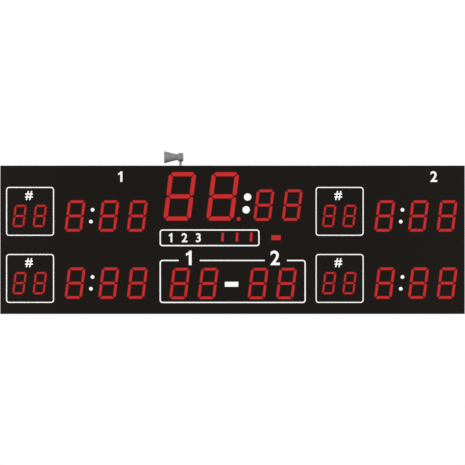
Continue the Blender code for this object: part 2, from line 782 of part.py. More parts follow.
def make_controller(cabinet, material):
    """The circuit board on four standoffs, with its sockets, chips and relay."""
    width, thick, height = CONTROLLER_SIZE
    radius, rise = STANDOFF
    at = (0, BACK_FRONT - GAP, CONTROLLER_HEIGHT)
    front = -rise - thick
    board = block(bmesh.new(), (-width / 2, front, -height / 2), (width / 2, -rise, height / 2))
    controller = piece("controller_board", board, material, cabinet, at)
    feet = bmesh.new()
    for x in (-1, 1):
        for z in (-1, 1):
            spot = (x * (width / 2 - STANDOFF_EDGE), z * (height / 2 - STANDOFF_EDGE))
            prism(feet, "y", ring_of(8, radius, spot), -rise - thick / 2, 0)
    join(controller, feet)
    fitted = bmesh.new()

    def fit(size, x, z):
        half_wide, half_tall = size[0] / 2, size[1] / 2
        low = (x - half_wide, front - size[2], z - half_tall)
        block(fitted, low, (x + half_wide, front + thick / 2, z + half_tall))

    for step in range(SOCKET_COUNT):
        x = (step - (SOCKET_COUNT - 1) / 2) * SOCKET_PITCH
        fit(SOCKET, x, SOCKET_EDGE + SOCKET[1] / 2 - height / 2)
        fit(DRIVER_CHIP, x, DRIVER_CHIP_UP)
    fit(PROCESSOR, 0.0, PROCESSOR_UP)
    fit(RELAY, *RELAY_AT)
    join(controller, fitted)


def make_latches(cabinet, cabinet_bottom, front, steel):
    for side, x in (("left", -LATCH_X), ("right", LATCH_X)):
        hole = ring_of(16, BARREL_RADIUS + GAP, (x, LATCH_Y))
        cut(cabinet_bottom, prism(bmesh.new(), "z", hole, *WEB_CUT))
        make_latch_barrel(side, x, cabinet, steel)
        make_latch_cam(side, x, cabinet, steel)
        make_latch_keeper(side, x, front, steel)


def make_latch_barrel(side, x, cabinet, steel):
    head_top = CABINET_BOTTOM - GAP
    head_radius, head_height = BARREL_HEAD
    profile = [
        (head_top - head_height, 0),
        (head_top - head_height, head_radius - EDGE_BREAK),
        (head_top - head_height / 2, head_radius),
        (head_top, head_radius),
        (head_top, BARREL_RADIUS),
        (BARREL_TOP, BARREL_RADIUS),
        (BARREL_TOP, 0),
    ]
    at = (x, LATCH_Y, 0)
    shape = turned(bmesh.new(), profile, "z", 16)
    barrel = piece(f"latch_barrel_{side}", shape, steel, cabinet, at, smooth=True)
    nut_radius, nut_height = BARREL_NUT
    nut_start = CABINET_BOTTOM + CHANNEL_WALL + GAP
    join(barrel, prism(bmesh.new(), "z", ring_of(6, nut_radius), nut_start, nut_start + nut_height))
    width, depth = KEY_SOCKET
    socket = ring_of(4, width / math.sqrt(2), start=math.pi / 4)
    head_low = head_top - head_height
    cut(barrel, prism(bmesh.new(), "z", socket, head_low - OVERCUT, head_low + depth))


def make_latch_cam(side, x, cabinet, steel):
    width, length, thick = CAM_ARM
    pivot = carrier(f"latch_{side}_axis", (x, LATCH_Y, 0), cabinet)
    low = BARREL_TOP + GAP
    half = width / 2
    hub = half + CAM_HUB
    waist = math.acos(half / hub)
    outline = arc(hub, -waist, math.pi + waist, 8)
    outline += [(-half, CAM_CORNER - length), (CAM_CORNER - half, -length)]
    outline += [(half - CAM_CORNER, -length), (half, CAM_CORNER - length)]
    cam = prism(bmesh.new(), "z", outline, low, low + thick)
    made = piece(f"latch_cam_{side}", cam, steel, pivot, (x, LATCH_Y, 0))
    bolt_radius, bolt_height = CAM_BOLT
    top = low + thick
    join(made, prism(bmesh.new(), "z", ring_of(6, bolt_radius), top - thick / 2, top + bolt_height))


def make_latch_keeper(side, x, front, steel):
    """A hook on the front that the turned cam catches from the room's side."""
    foot = FRAME_FRONT + ANGLE_WALL + GAP
    tip = LATCH_Y + CAM_ARM[0] / 2 + KEEPER_PLAY
    wall = KEEPER_WALL
    section = [
        (foot, KEEPER_FOOT),
        (foot, KEEPER_TOP),
        (tip + wall, KEEPER_TOP),
        (tip + wall, KEEPER_LOW),
        (tip, KEEPER_LOW),
        (tip, KEEPER_TOP - wall),
        (foot + wall, KEEPER_TOP - wall),
        (foot + wall, KEEPER_FOOT),
    ]
    start, end = KEEPER_REACH
    piece(f"latch_keeper_{side}", prism(bmesh.new(), "x", section, x + start, x + end), steel, front)


def strut_line():
    """Length at rest, lean at rest, and how far the strut turns and slides as the front opens fully."""
    head_y, head_z = STRUT_ON_FRONT
    foot_y, foot_z = STRUT_FOOT[0] - HINGE_Y, STRUT_FOOT[1] - HINGE_Z
    across, along = head_y - foot_y, head_z - foot_z
    cosine, sine = math.cos(FRONT_OPEN), math.sin(FRONT_OPEN)
    open_across = head_y * cosine + head_z * sine - foot_y
    open_along = head_z * cosine - head_y * sine - foot_z
    rest_length = math.hypot(across, along)
    rest_lean = math.atan2(-across, along)
    turn = math.atan2(-open_across, open_along) - rest_lean
    slide = math.hypot(open_across, open_along) - rest_length
    return rest_length, rest_lean, turn, slide


def make_strut(side, sign, cabinet, front, paint, steel):
    length, lean, _, _ = strut_line()
    x = sign * (HALF_WIDTH - STRUT_INSET)
    pivot = carrier(f"strut_{side}_axis", (x, *STRUT_FOOT), cabinet, lean)
    make_strut_tube(side, pivot, paint)
    make_strut_rod(side, sign, length, pivot, steel)
    make_strut_anchor(side, sign, (x, *STRUT_FOOT), cabinet, steel)
    beside_eye = x - sign * (EYE_WIDTH / 2 + PLATE)
    make_strut_bracket(side, sign, (beside_eye, *STRUT_HEAD), front, steel)


def make_strut_tube(side, pivot, paint):
    neck_start, neck_radius = TUBE_NECK
    end = TUBE_START + TUBE_LENGTH
    bore = ROD_RADIUS + GAP
    profile = [
        (neck_start, 0),
        (neck_start, neck_radius),
        (TUBE_START, neck_radius),
        (TUBE_START, TUBE_RADIUS - EDGE_BREAK),
        (TUBE_START + EDGE_BREAK, TUBE_RADIUS),
        (end - EDGE_BREAK, TUBE_RADIUS),
        (end, TUBE_RADIUS - EDGE_BREAK),
        (end, bore),
        (ROD_TAIL - TAIL_ROOM, bore),
        (ROD_TAIL - TAIL_ROOM, 0),
    ]
    shape = turned(bmesh.new(), profile, "z", 16)
    tube = local_piece(f"strut_tube_{side}", shape, paint, pivot, smooth=True)
    eye = EYE_WIDTH / 2
    join(tube, prism(bmesh.new(), "x", ring_of(16, EYE_RADIUS), -eye, eye))
    hole = ring_of(12, STUD_RADIUS + GAP)
    cut(tube, prism(bmesh.new(), "x", hole, -eye - OVERCUT, eye + OVERCUT))


def make_strut_rod(side, sign, length, pivot, steel):
    """The rod, its eye and the stub that reaches towards the bracket on the front."""
    top = length - EYE_RADIUS / 2
    profile = [
        (ROD_TAIL, 0),
        (ROD_TAIL, ROD_RADIUS - EDGE_BREAK / 2),
        (ROD_TAIL + EDGE_BREAK / 2, ROD_RADIUS),
        (top, ROD_RADIUS),
        (top, 0),
    ]
    shape = turned(bmesh.new(), profile, "z", 12)
    rod = local_piece(f"strut_rod_{side}", shape, steel, pivot, smooth=True)
    eye = EYE_WIDTH / 2
    join(rod, prism(bmesh.new(), "x", ring_of(16, EYE_RADIUS, (0, length)), -eye, eye))
    stub = sorted((0.0, -sign * (eye + PLATE - GAP)))
    join(rod, prism(bmesh.new(), "x", ring_of(12, STUD_RADIUS, (0, length)), *stub))


def make_strut_anchor(side, sign, at, cabinet, steel):
    """A plate on the cabinet's side with the stud that the tube's eye turns on."""
    wall = CABINET_HALF - CHANNEL_WALL - GAP - abs(at[0])
    deep, tall = ANCHOR_SIZE
    plate = sorted((sign * (wall - PLATE), sign * wall))
    shape = block(bmesh.new(), (plate[0], -deep / 2, -tall / 2), (plate[1], deep / 2, tall / 2))
    anchor = piece(f"strut_anchor_{side}", shape, steel, cabinet, at)
    cap_radius, cap_height = STUD_CAP
    inner = EYE_WIDTH / 2 + GAP
    profile = [
        (-inner - cap_height, 0),
        (-inner - cap_height, cap_radius),
        (-inner, cap_radius),
        (-inner, STUD_RADIUS),
        (inner, STUD_RADIUS),
        (inner, cap_radius),
        (wall - PLATE / 2, cap_radius),
        (wall - PLATE / 2, 0),
    ]
    join(anchor, turned(bmesh.new(), [(sign * s, r) for s, r in profile], "x", 12))


def make_strut_bracket(side, sign, at, front, steel):
    """An angle on the back of the face sheet. Its web lies beside the rod's eye, at this x."""
    foot_front = FRAME_FRONT - at[1]
    wide, tall = BRACKET_FOOT
    web = sorted((0.0, -sign * PLATE))
    outline = arc(BRACKET_TIP, math.radians(-90), math.radians(90), 6)
    root = foot_front + PLATE / 2
    outline += [(root, tall / 2 - BRACKET_TAPER), (root, BRACKET_TAPER - tall / 2)]
    shape = prism(bmesh.new(), "x", outline, *web)
    bracket = piece(f"strut_bracket_{side}", shape, steel, front, at)
    foot = sorted((0.0, -sign * wide))
    low = (foot[0], foot_front, -tall / 2)
    high = (foot[1], foot_front + PLATE, tall / 2)
    join(bracket, block(bmesh.new(), low, high))


def make_switch(cabinet, cabinet_bottom, plastic, rocker_plastic):
    x = HALF_WIDTH - SWITCH_INSET
    at = (x, LATCH_Y, 0)
    wide, deep, tall = SWITCH_BODY
    seat = CABINET_BOTTOM - GAP
    room_x, room_y = wide / 2 + GAP, deep / 2 + GAP
    low, high = (x - room_x, LATCH_Y - room_y, WEB_CUT[0]), (x + room_x, LATCH_Y + room_y, WEB_CUT[1])
    cut(cabinet_bottom, block(bmesh.new(), low, high))
    housing = make_switch_housing(at, seat, cabinet, plastic)
    tab_wide, tab_deep, tab_tall = SWITCH_TAB
    tabs = bmesh.new()
    for step in (-1, 0, 1):
        spot = SWITCH_TAB_PITCH * step
        low = (spot - tab_wide / 2, -tab_deep / 2, seat + tall - OVERCUT)
        block(tabs, low, (spot + tab_wide / 2, tab_deep / 2, seat + tall + tab_tall))
    join(housing, tabs)

    axis = (x, LATCH_Y, ROCKER_PIVOT)
    pivot = carrier("rocker_axis", axis, cabinet)
    low_edge = ROCKER_EDGE + ROCKER_HALF * math.tan(ROCKER_TILT)
    outline = [(-ROCKER_HALF, -low_edge), (0, -ROCKER_EDGE), (ROCKER_HALF, -low_edge)]
    outline += [(ROCKER_HALF, ROCKER_EDGE), (0, ROCKER_CROWN), (-ROCKER_HALF, ROCKER_EDGE)]
    half = SWITCH_WELL[1] / 2 - GAP
    rocker = prism(bmesh.new(), "y", outline, -half, half)
    piece("power_rocker", rocker, rocker_plastic, pivot, axis, turn=-ROCKER_TILT)


def make_switch_housing(at, seat, cabinet, plastic):
    """Body and bezel, with the well that the rocker tips in."""
    wide, deep, tall = SWITCH_BODY
    head_wide, head_deep, head_tall = SWITCH_BEZEL
    well_wide, well_deep, well_tall = SWITCH_WELL
    low = seat - head_tall
    body_low = (-wide / 2, -deep / 2, seat - head_tall / 2)
    body = block(bmesh.new(), body_low, (wide / 2, deep / 2, seat + tall))
    housing = piece("switch_housing", body, plastic, cabinet, at)
    bezel = block(bmesh.new(), (-head_wide / 2, -head_deep / 2, low), (head_wide / 2, head_deep / 2, seat))
    join(housing, bezel)
    well_low = (-well_wide / 2, -well_deep / 2, low - OVERCUT)
    cut(housing, block(bmesh.new(), well_low, (well_wide / 2, well_deep / 2, low + well_tall)))
    return housing


def make_grommet(cabinet, cabinet_bottom, rubber):
    """A closed rubber grommet, pierced when a cable is drawn through it."""
    x = HALF_WIDTH - GROMMET_INSET
    hole = ring_of(16, GROMMET_RADIUS + GAP, (x, LATCH_Y))
    cut(cabinet_bottom, prism(bmesh.new(), "z", hole, *WEB_CUT))
    low, high = CABINET_BOTTOM - GAP, CABINET_BOTTOM + CHANNEL_WALL + GAP
    below, above = GROMMET_SKIN
    inner = GROMMET_RADIUS - GROMMET_WALL
    rim = GROMMET_FLANGE - EDGE_BREAK
    profile = [
        (low - below, 0),
        (low - below, inner),
        (low - GROMMET_LIP, inner + 2 * EDGE_BREAK),
        (low - GROMMET_LIP, rim),
        (low, GROMMET_FLANGE),
        (low, GROMMET_RADIUS),
        (high, GROMMET_RADIUS),
        (high, GROMMET_FLANGE),
        (high + GROMMET_LIP, rim),
        (high + GROMMET_LIP, inner + EDGE_BREAK),
        (low + above, inner),
        (low + above, 0),
    ]
    grommet = turned(bmesh.new(), profile, "z", 16)
    piece("cable_grommet", grommet, rubber, cabinet, (x, LATCH_Y, 0), smooth=True)


def make_horn(cabinet, cabinet_top, grey, steel):
    base = (HORN_X, HORN_Y, CABINET_TOP)
    swivel = carrier("horn_swivel_axis", base, cabinet)
    axis = (HORN_X, HORN_Y, HORN_Z)
    tilt = carrier("horn_tilt_axis", axis, swivel)
    leg_front = DRIVER_RADIUS + BOSS_STAND
    leg_back = leg_front + BRACKET_WALL
    hole = BOLT_RADIUS + GAP
    make_horn_bracket(base, swivel, leg_front, leg_back, hole, steel)
    make_base_bolt(base, cabinet, cabinet_top, hole, steel)
    make_bell(axis, tilt, grey)
    make_driver(axis, tilt, leg_front, hole, grey)

    head_radius, head_height = BOLT_HEAD
    start = leg_back + GAP
    bolt = prism(bmesh.new(), "y", ring_of(6, head_radius), start, start + head_height)
    made = piece("horn_pivot_bolt", bolt, steel, tilt, axis)
    shank_end = leg_front - GAP - BOSS_HOLE + BOLT_END_ROOM
    join(made, prism(bmesh.new(), "y", ring_of(12, BOLT_RADIUS), shank_end, start + head_height / 2))


def make_horn_bracket(base, swivel, leg_front, leg_back, hole, steel):
    foot_low, foot_high = GAP, GAP + BRACKET_WALL
    pivot_height = HORN_Z - CABINET_TOP
    half = BRACKET_WIDTH / 2
    side = math.asin(half / BRACKET_BASE_RADIUS)
    outline = arc(BRACKET_BASE_RADIUS, math.pi / 2 + side, math.tau + math.pi / 2 - side, 16)
    outline += [(half, leg_back), (-half, leg_back)]
    foot = prism(bmesh.new(), "z", outline, foot_low, foot_high)
    bracket = piece("horn_bracket", foot, steel, swivel, base)
    leg = arc(half, 0, math.pi, 8, (0, pivot_height))
    leg += [(-half, foot_low + BRACKET_WALL / 2), (half, foot_low + BRACKET_WALL / 2)]
    join(bracket, prism(bmesh.new(), "y", leg, leg_front, leg_back))
    cut(bracket, prism(bmesh.new(), "z", ring_of(12, hole), foot_low - OVERCUT, foot_high + OVERCUT))
    pivot_hole = ring_of(12, hole, (0, pivot_height))
    cut(bracket, prism(bmesh.new(), "y", pivot_hole, leg_front - OVERCUT, leg_back + OVERCUT))


def make_base_bolt(base, cabinet, cabinet_top, hole, steel):
    spot = (base[0], base[1])
    web_low = CABINET_TOP - CHANNEL_WALL - OVERCUT
    cut(cabinet_top, prism(bmesh.new(), "z", ring_of(12, hole, spot), web_low, CABINET_TOP + OVERCUT))
    head_radius, head_height = BOLT_HEAD
    head_low = 2 * GAP + BRACKET_WALL
    nut_top = -CHANNEL_WALL - GAP
    bolt = prism(bmesh.new(), "z", ring_of(6, head_radius), head_low, head_low + head_height)
    made = piece("horn_base_bolt", bolt, steel, cabinet, base)
    shank_low = nut_top - head_height - BOLT_TAIL
    shank_top = head_low + head_height / 2
    join(made, prism(bmesh.new(), "z", ring_of(12, BOLT_RADIUS), shank_low, shank_top))
    join(made, prism(bmesh.new(), "z", ring_of(6, head_radius), nut_top - head_height, nut_top))


def make_bell(axis, tilt, grey):
    """An open cone with a rolled lip, its mouth towards -X."""
    mouth = -MOUTH_REACH
    neck = mouth + BELL_LENGTH
    end = neck + NECK_LENGTH
    profile = [
        (mouth, MOUTH_RADIUS - BELL_WALL),
        (mouth, MOUTH_RADIUS),
        (mouth + MOUTH_LIP, MOUTH_RADIUS),
        (mouth + MOUTH_LIP, MOUTH_RADIUS - MOUTH_ROLL),
        (neck, NECK_RADIUS),
        (end, NECK_RADIUS),
        (end, NECK_RADIUS - BELL_WALL),
        (neck, NECK_RADIUS - BELL_WALL),
    ]
    bell = turned(bmesh.new(), profile, "x", HORN_SIDES, closed=True)
    piece("horn_bell", bell, grey, tilt, axis, smooth=True)


def make_driver(axis, tilt, leg_front, hole, grey):
    face = -MOUTH_REACH + BELL_LENGTH + NECK_LENGTH + GAP
    rear = face + DRIVER_LENGTH
    profile = [
        (face - PLUG_REACH, 0),
        (face - PLUG_SHOULDER[0], PLUG_SHOULDER[1]),
        (face, PLUG_RADIUS),
        (face, DRIVER_RADIUS - DRIVER_CHAMFER),
        (face + DRIVER_CHAMFER, DRIVER_RADIUS),
        (rear - DRIVER_EDGE, DRIVER_RADIUS),
        (rear, DRIVER_RADIUS - DRIVER_EDGE),
        (rear, 0),
    ]
    driver = turned(bmesh.new(), profile, "x", HORN_SIDES)
    made = piece("horn_driver", driver, grey, tilt, axis, smooth=True)
    boss_end = leg_front - GAP
    join(made, prism(bmesh.new(), "y", ring_of(16, BOSS_RADIUS), DRIVER_RADIUS / 2, boss_end))
    cut(made, prism(bmesh.new(), "y", ring_of(12, hole), boss_end - BOSS_HOLE, boss_end + OVERCUT))


def main():
    clear_scene()
    black = finish("black_powder_coat", (0.012, 0.011, 0.010), 0.55)
    dark = finish("black_anodised_aluminium", (0.03, 0.03, 0.032), 0.4, 1.0)
    red = finish("red_lens_acrylic", (0.55, 0.02, 0.02), 0.25)
    board_green = finish("circuit_board", (0.02, 0.10, 0.05), 0.45)
    zinc = finish("zinc_plated_steel", (0.55, 0.56, 0.58), 0.35, 1.0)
    steel = finish("stainless_steel", (0.62, 0.62, 0.63), 0.3, 1.0)
    paint = finish("strut_black_paint", (0.015, 0.015, 0.016), 0.3)
    rubber = finish("black_rubber", (0.02, 0.02, 0.02), 0.8)
    plastic = finish("black_switch_plastic", (0.02, 0.02, 0.02), 0.4)
    rocker_plastic = finish("rocker_plastic", (0.03, 0.03, 0.03), 0.3)
    grey = finish("grey_horn_enamel", (0.22, 0.22, 0.22), 0.45)

    board = carrier("scoreboard", (0, 0, 0))
    front = carrier("front_hinge_axis", (0, HINGE_Y, HINGE_Z), board)
    groups = face_groups()
    make_front_panel(groups, front, black)
    make_front_frame(front, dark)
    make_lenses(groups, front, red)
    make_led_boards(groups, front, board_green)
    frame = make_cabinet_frame(board, dark)
    make_back_panel(board, zinc)
    make_gasket(board, rubber)
    make_hinge(board, front, steel)
    make_rails(board, zinc)
    make_spacers(board, zinc)
    make_supply(board, zinc)
    make_controller(board, board_green)
    make_latches(board, frame["bottom"], front, steel)
    for side, sign in (("left", -1), ("right", 1)):
        make_strut(side, sign, board, front, paint, steel)
    make_switch(board, frame["bottom"], plastic, rocker_plastic)
    make_grommet(board, frame["bottom"], rubber)
    make_horn(board, frame["top"], grey, steel)
    board.location.z = -RAIL_HEIGHT


main()
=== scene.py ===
# Finish, print and small parts of the floorball scoreboard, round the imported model.
# Metres: X along the board, Y into the wall, Z up, with the origin on the wall behind the hanging rail.
import json
import math

import bmesh
import bpy
from mathutils import Matrix, Vector


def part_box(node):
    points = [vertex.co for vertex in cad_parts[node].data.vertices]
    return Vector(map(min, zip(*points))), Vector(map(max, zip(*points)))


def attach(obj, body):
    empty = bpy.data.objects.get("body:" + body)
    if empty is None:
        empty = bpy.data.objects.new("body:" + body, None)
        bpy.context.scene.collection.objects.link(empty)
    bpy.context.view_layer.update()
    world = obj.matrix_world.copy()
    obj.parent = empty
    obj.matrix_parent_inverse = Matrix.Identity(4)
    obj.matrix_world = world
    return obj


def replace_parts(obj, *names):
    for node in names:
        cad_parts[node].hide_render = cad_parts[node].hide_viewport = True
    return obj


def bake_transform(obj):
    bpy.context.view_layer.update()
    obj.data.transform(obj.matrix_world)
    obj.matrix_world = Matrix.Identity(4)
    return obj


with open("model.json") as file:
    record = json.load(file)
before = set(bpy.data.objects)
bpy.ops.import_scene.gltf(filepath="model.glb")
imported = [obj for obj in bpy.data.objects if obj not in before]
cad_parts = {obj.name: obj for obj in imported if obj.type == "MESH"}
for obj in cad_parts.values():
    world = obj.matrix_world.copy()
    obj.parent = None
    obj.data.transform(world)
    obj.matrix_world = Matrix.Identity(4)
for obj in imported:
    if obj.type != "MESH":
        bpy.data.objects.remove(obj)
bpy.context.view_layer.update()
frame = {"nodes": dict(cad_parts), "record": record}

nodes = frame["nodes"]
faceLow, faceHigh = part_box("front_panel")
panelLow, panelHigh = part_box("back_panel")
cabinetWall = 0.0025
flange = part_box("cabinet_frame_left")[1].y - cabinetWall      # inner side of the cabinet's flanges
toWall, toRoom, upward, downward = (0, 1, 0), (0, -1, 0), (0, 0, 1), (0, 0, -1)
quarter = math.pi / 2
weld, near = 1e-6, 1e-5
print("frame loaded:", len(nodes), "nodes")


# Small helpers for shapes

def painted(part, paint):
    for face in part.faces:
        face.material_index = paint
    return part


def cornersOf(grown):
    return [item for item in grown["geom"] if isinstance(item, bmesh.types.BMVert)]


def moved(part, vec, corners=None):
    bmesh.ops.translate(part, verts=corners or part.verts, vec=vec)
    return part


def drawnOut(part, vec):
    # gives a flat part its thickness
    grown = bmesh.ops.extrude_face_region(part, geom=part.faces[:], use_keep_orig=True)
    moved(part, vec, cornersOf(grown))
    bmesh.ops.recalc_face_normals(part, faces=part.faces)
    return part


def bevelled(part, geom, offset, steps, affect="EDGES", clamp=False):
    bmesh.ops.bevel(part, geom=geom, offset=offset, segments=steps, profile=0.5, affect=affect,
                    material=-1, clamp_overlap=clamp)
    return part


def easeAll(part, offset, steps=1):
    return bevelled(part, part.edges[:], offset, steps, clamp=True) if offset else part


def easedBox(size, ease=0.0, steps=1, paint=0, at=(0, 0, 0)):
    part = bmesh.new()
    bmesh.ops.create_cube(part, size=1.0, matrix=Matrix.Diagonal((*size, 1.0)))
    return painted(moved(easeAll(part, ease, steps), at), paint)


def standingBox(size, ease=0.0, steps=1, paint=0, foot=(0, 0, 0)):
    # the same with the middle of its bottom at foot
    return easedBox(size, ease, steps, paint, Vector(foot) + Vector((0, 0, size[2] / 2)))


def turnedPart(profile, sides, paint=0, axis="Z"):
    # profile is (radius, along) pairs; the shape is spun round the axis through the origin
    part = bmesh.new()
    corners = [part.verts.new((radius, 0, along)) for radius, along in profile]
    edges = [part.edges.new(pair) for pair in zip(corners, corners[1:])]
    bmesh.ops.spin(part, geom=corners + edges, cent=(0, 0, 0), axis=upward, angle=math.tau, steps=sides,
                   use_merge=True)
    bmesh.ops.remove_doubles(part, verts=part.verts, dist=weld)
    bmesh.ops.recalc_face_normals(part, faces=part.faces)
    if axis != "Z":
        turn = {"X": Matrix.Rotation(quarter, 4, "Y"), "Y": Matrix.Rotation(-quarter, 4, "X")}[axis]
        bmesh.ops.transform(part, matrix=turn, verts=part.verts)
    return painted(part, paint)


def disc(radius, low, high, sides=24, bore=0.0, ease=0.0, axis="Z"):
    # a round plate or ring from low to high
    edge = [(radius - ease, low), (radius, low + ease), (radius, high - ease), (radius - ease, high)]
    profile = [(bore, low), *(edge if ease else edge[::2]), (bore, high)]
    return turnedPart(profile + profile[:1] if bore else profile, sides, axis=axis)


def extruded(outline, low, high, paint=0, ease=0.0):
    # a straight bar: outline in X and Z, drawn out along Y
    part = bmesh.new()
    part.faces.new([part.verts.new((x, low, z)) for x, z in outline])
    return painted(easeAll(drawnOut(part, (0, high - low, 0)), ease), paint)


def stamp(target, part, places=(Matrix.Identity(4),)):
    # adds a copy of part to target at each place, a vector or a matrix
    pattern = bpy.data.meshes.new("pattern")
    part.to_mesh(pattern)
    part.free()
    for place in places:
        copy = pattern.copy()
        copy.transform(place if isinstance(place, Matrix) else Matrix.Translation(place))
        target.from_mesh(copy)
        bpy.data.meshes.remove(copy)
    bpy.data.meshes.remove(pattern)
    return target


def standOn(at, facing, turn=0.0):
    aim = Vector(facing).to_track_quat("Z", "Y").to_matrix().to_4x4()
    return Matrix.Translation(at) @ aim @ Matrix.Rotation(turn, 4, "Z")


def shift(place, x=0.0, y=0.0, z=0.0, turn=0.0):
    # the place, moved and turned in its own axes
    return place @ Matrix.Translation((x, y, z)) @ Matrix.Rotation(turn, 4, "Z")


def shifted(places, **move):
    return [shift(place, **move) for place in places]


def spread(low, high, pitch):
    # even places from low to high, about pitch apart
    count = max(1, round((high - low) / pitch))
    return [low + (high - low) * step / count for step in range(count + 1)]


def centred(count, pitch):
    return [(step - (count - 1) / 2) * pitch for step in range(count)]


def middleOf(name):
    low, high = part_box(name)
    return (low + high) / 2


def meshOf(curve):
    # the mesh that a curve or text draws
    drawn = bpy.data.objects.new("drawn", curve)
    bpy.context.scene.collection.objects.link(drawn)
    bpy.context.view_layer.update()
    mesh = bpy.data.meshes.new_from_object(drawn.evaluated_get(bpy.context.evaluated_depsgraph_get()))
    bpy.data.objects.remove(drawn)
    return mesh


def newPiece(name, body, slot, finish, shape, sharp=35):
    mesh = bpy.data.meshes.new(name)
    shape.to_mesh(mesh)
    shape.free()
    for word in finish.split():
        mesh.materials.append(finishes[word])
    mesh.shade_smooth()
    mesh.set_sharp_from_angle(angle=math.radians(sharp))
    piece = bpy.data.objects.new(name, mesh)
    bpy.context.scene.collection.objects.link(piece)
    if body:                     # a piece between two bodies rides on neither
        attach(piece, body)
    return piece


def assemble(name, body, slot, finish, *stamps, sharp=35):
    # a piece made of parts, each given with its places
    shape = bmesh.new()
    for part, places in stamps:
        stamp(shape, part, places)
    return newPiece(name, body, slot, finish, shape, sharp)


# Small helpers for nodes

def feed(tree, node, feeds):
    for socket, value in feeds.items():
        target = node.inputs[socket]
        if isinstance(value, bpy.types.NodeSocket):
            tree.links.new(value, target)
        else:
            target.default_value = (*value, 1.0) if target.type == "RGBA" else value


def addNode(tree, kind, feeds=None, **settings):
    node = tree.nodes.new("ShaderNode" + kind)
    for name, value in settings.items():
        setattr(node, name, value)
    feed(tree, node, feeds or {})
    return node


def calc(tree, operation, a, b=0.0, clamp=False):
    return addNode(tree, "Math", {0: a, 1: b}, operation=operation, use_clamp=clamp).outputs[0]


def calcVector(tree, operation, a, b, exit=0):
    return addNode(tree, "VectorMath", {0: a, 1: b}, operation=operation).outputs[exit]


def blendColours(tree, share, a, b):
    return addNode(tree, "Mix", {0: share, 6: a, 7: b}, data_type="RGBA").outputs[2]


def spreadOut(tree, value, low, high, newLow=0.0, newHigh=1.0):
    return addNode(tree, "MapRange", {0: value, 1: low, 2: high, 3: newLow, 4: newHigh}).outputs[0]


def placeIn(tree):
    return addNode(tree, "TexCoord").outputs["Object"]


def axesOf(tree, vector):
    return addNode(tree, "SeparateXYZ", {0: vector}).outputs


def startGroup(name, entries, *exits):
    group = bpy.data.node_groups.new(name, "ShaderNodeTree")
    for label, value in entries.items():
        kind = "NodeSocketVector" if isinstance(value, tuple) else "NodeSocketFloat"
        entry = group.interface.new_socket(label, in_out="INPUT", socket_type=kind)
        entry.default_value = value
    for label in exits:
        group.interface.new_socket(label, in_out="OUTPUT", socket_type="NodeSocketFloat")
    return group, group.nodes.new("NodeGroupInput").outputs, group.nodes.new("NodeGroupOutput")


def useGroup(tree, group, *values):
    return addNode(tree, "Group", dict(enumerate(values)), node_tree=group).outputs


finishes = {}


def startFinish(name, metallic=0.0, specular=0.5):
    material = bpy.data.materials.new(name)
    material.use_nodes = True
    finishes[name] = material
    tree = material.node_tree
    shader = tree.nodes["Principled BSDF"]
    feed(tree, shader, {"Metallic": metallic, "Specular IOR Level": specular})
    return tree, shader


# Studio

studio = {
    "camera": (0.0, -8.118, -0.2948),
    "lens": 100,
    "sensor": 36,
    "floorZ": -2.4,
    "floorRadius": 6.0,
    "floorFade": (2.2, 3.5),
    "roomLight": 0.55,
    "lamps": [
        # place, target, size, watts
        ((-5.2, -2.6, 2.6), (-0.3, 0.0, -0.3), 2.0, 190),
        ((5.2, -2.6, 2.6), (0.3, 0.0, -0.3), 2.0, 190),
        ((-5.0, -2.6, -2.0), (-0.3, 0.0, -0.3), 1.6, 90),
        ((5.0, -2.6, -2.0), (0.3, 0.0, -0.3), 1.6, 90),
        ((0.0, 4.5, 2.0), (0.0, 0.0, -0.3), 3.0, 130),
    ],
}


def placeHolder(name, data, place):
    holder = bpy.data.objects.new(name, data)
    bpy.context.scene.collection.objects.link(holder)
    holder.location = place
    return holder


def makeStudio():
    scene = bpy.context.scene
    camera = placeHolder("camera", bpy.data.cameras.new("camera"), studio["camera"])
    camera.rotation_euler = (quarter, 0.0, 0.0)
    camera.data.sensor_width = studio["sensor"]
    camera.data.lens = studio["lens"]
    scene.camera = camera
    scene.view_settings.view_transform = "Standard"
    for place, target, size, watts in studio["lamps"]:
        lamp = bpy.data.lights.new("softbox", "AREA")
        lamp.size = size
        lamp.energy = watts
        holder = placeHolder("softbox", lamp, place)
        holder.visible_camera = False
        holder.rotation_euler = (Vector(target) - Vector(place)).to_track_quat("-Z", "Y").to_euler()


def makeRoom():
    # pure white behind the board, but a dim room in reflections
    world = bpy.data.worlds.new("room")
    world.use_nodes = True
    bpy.context.scene.world = world
    tree = world.node_tree
    seen = addNode(tree, "LightPath").outputs["Is Camera Ray"]
    strength = spreadOut(tree, seen, 0.0, 1.0, studio["roomLight"], 1.0)
    feed(tree, tree.nodes["Background"], {"Color": (1.0, 1.0, 1.0), "Strength": strength})


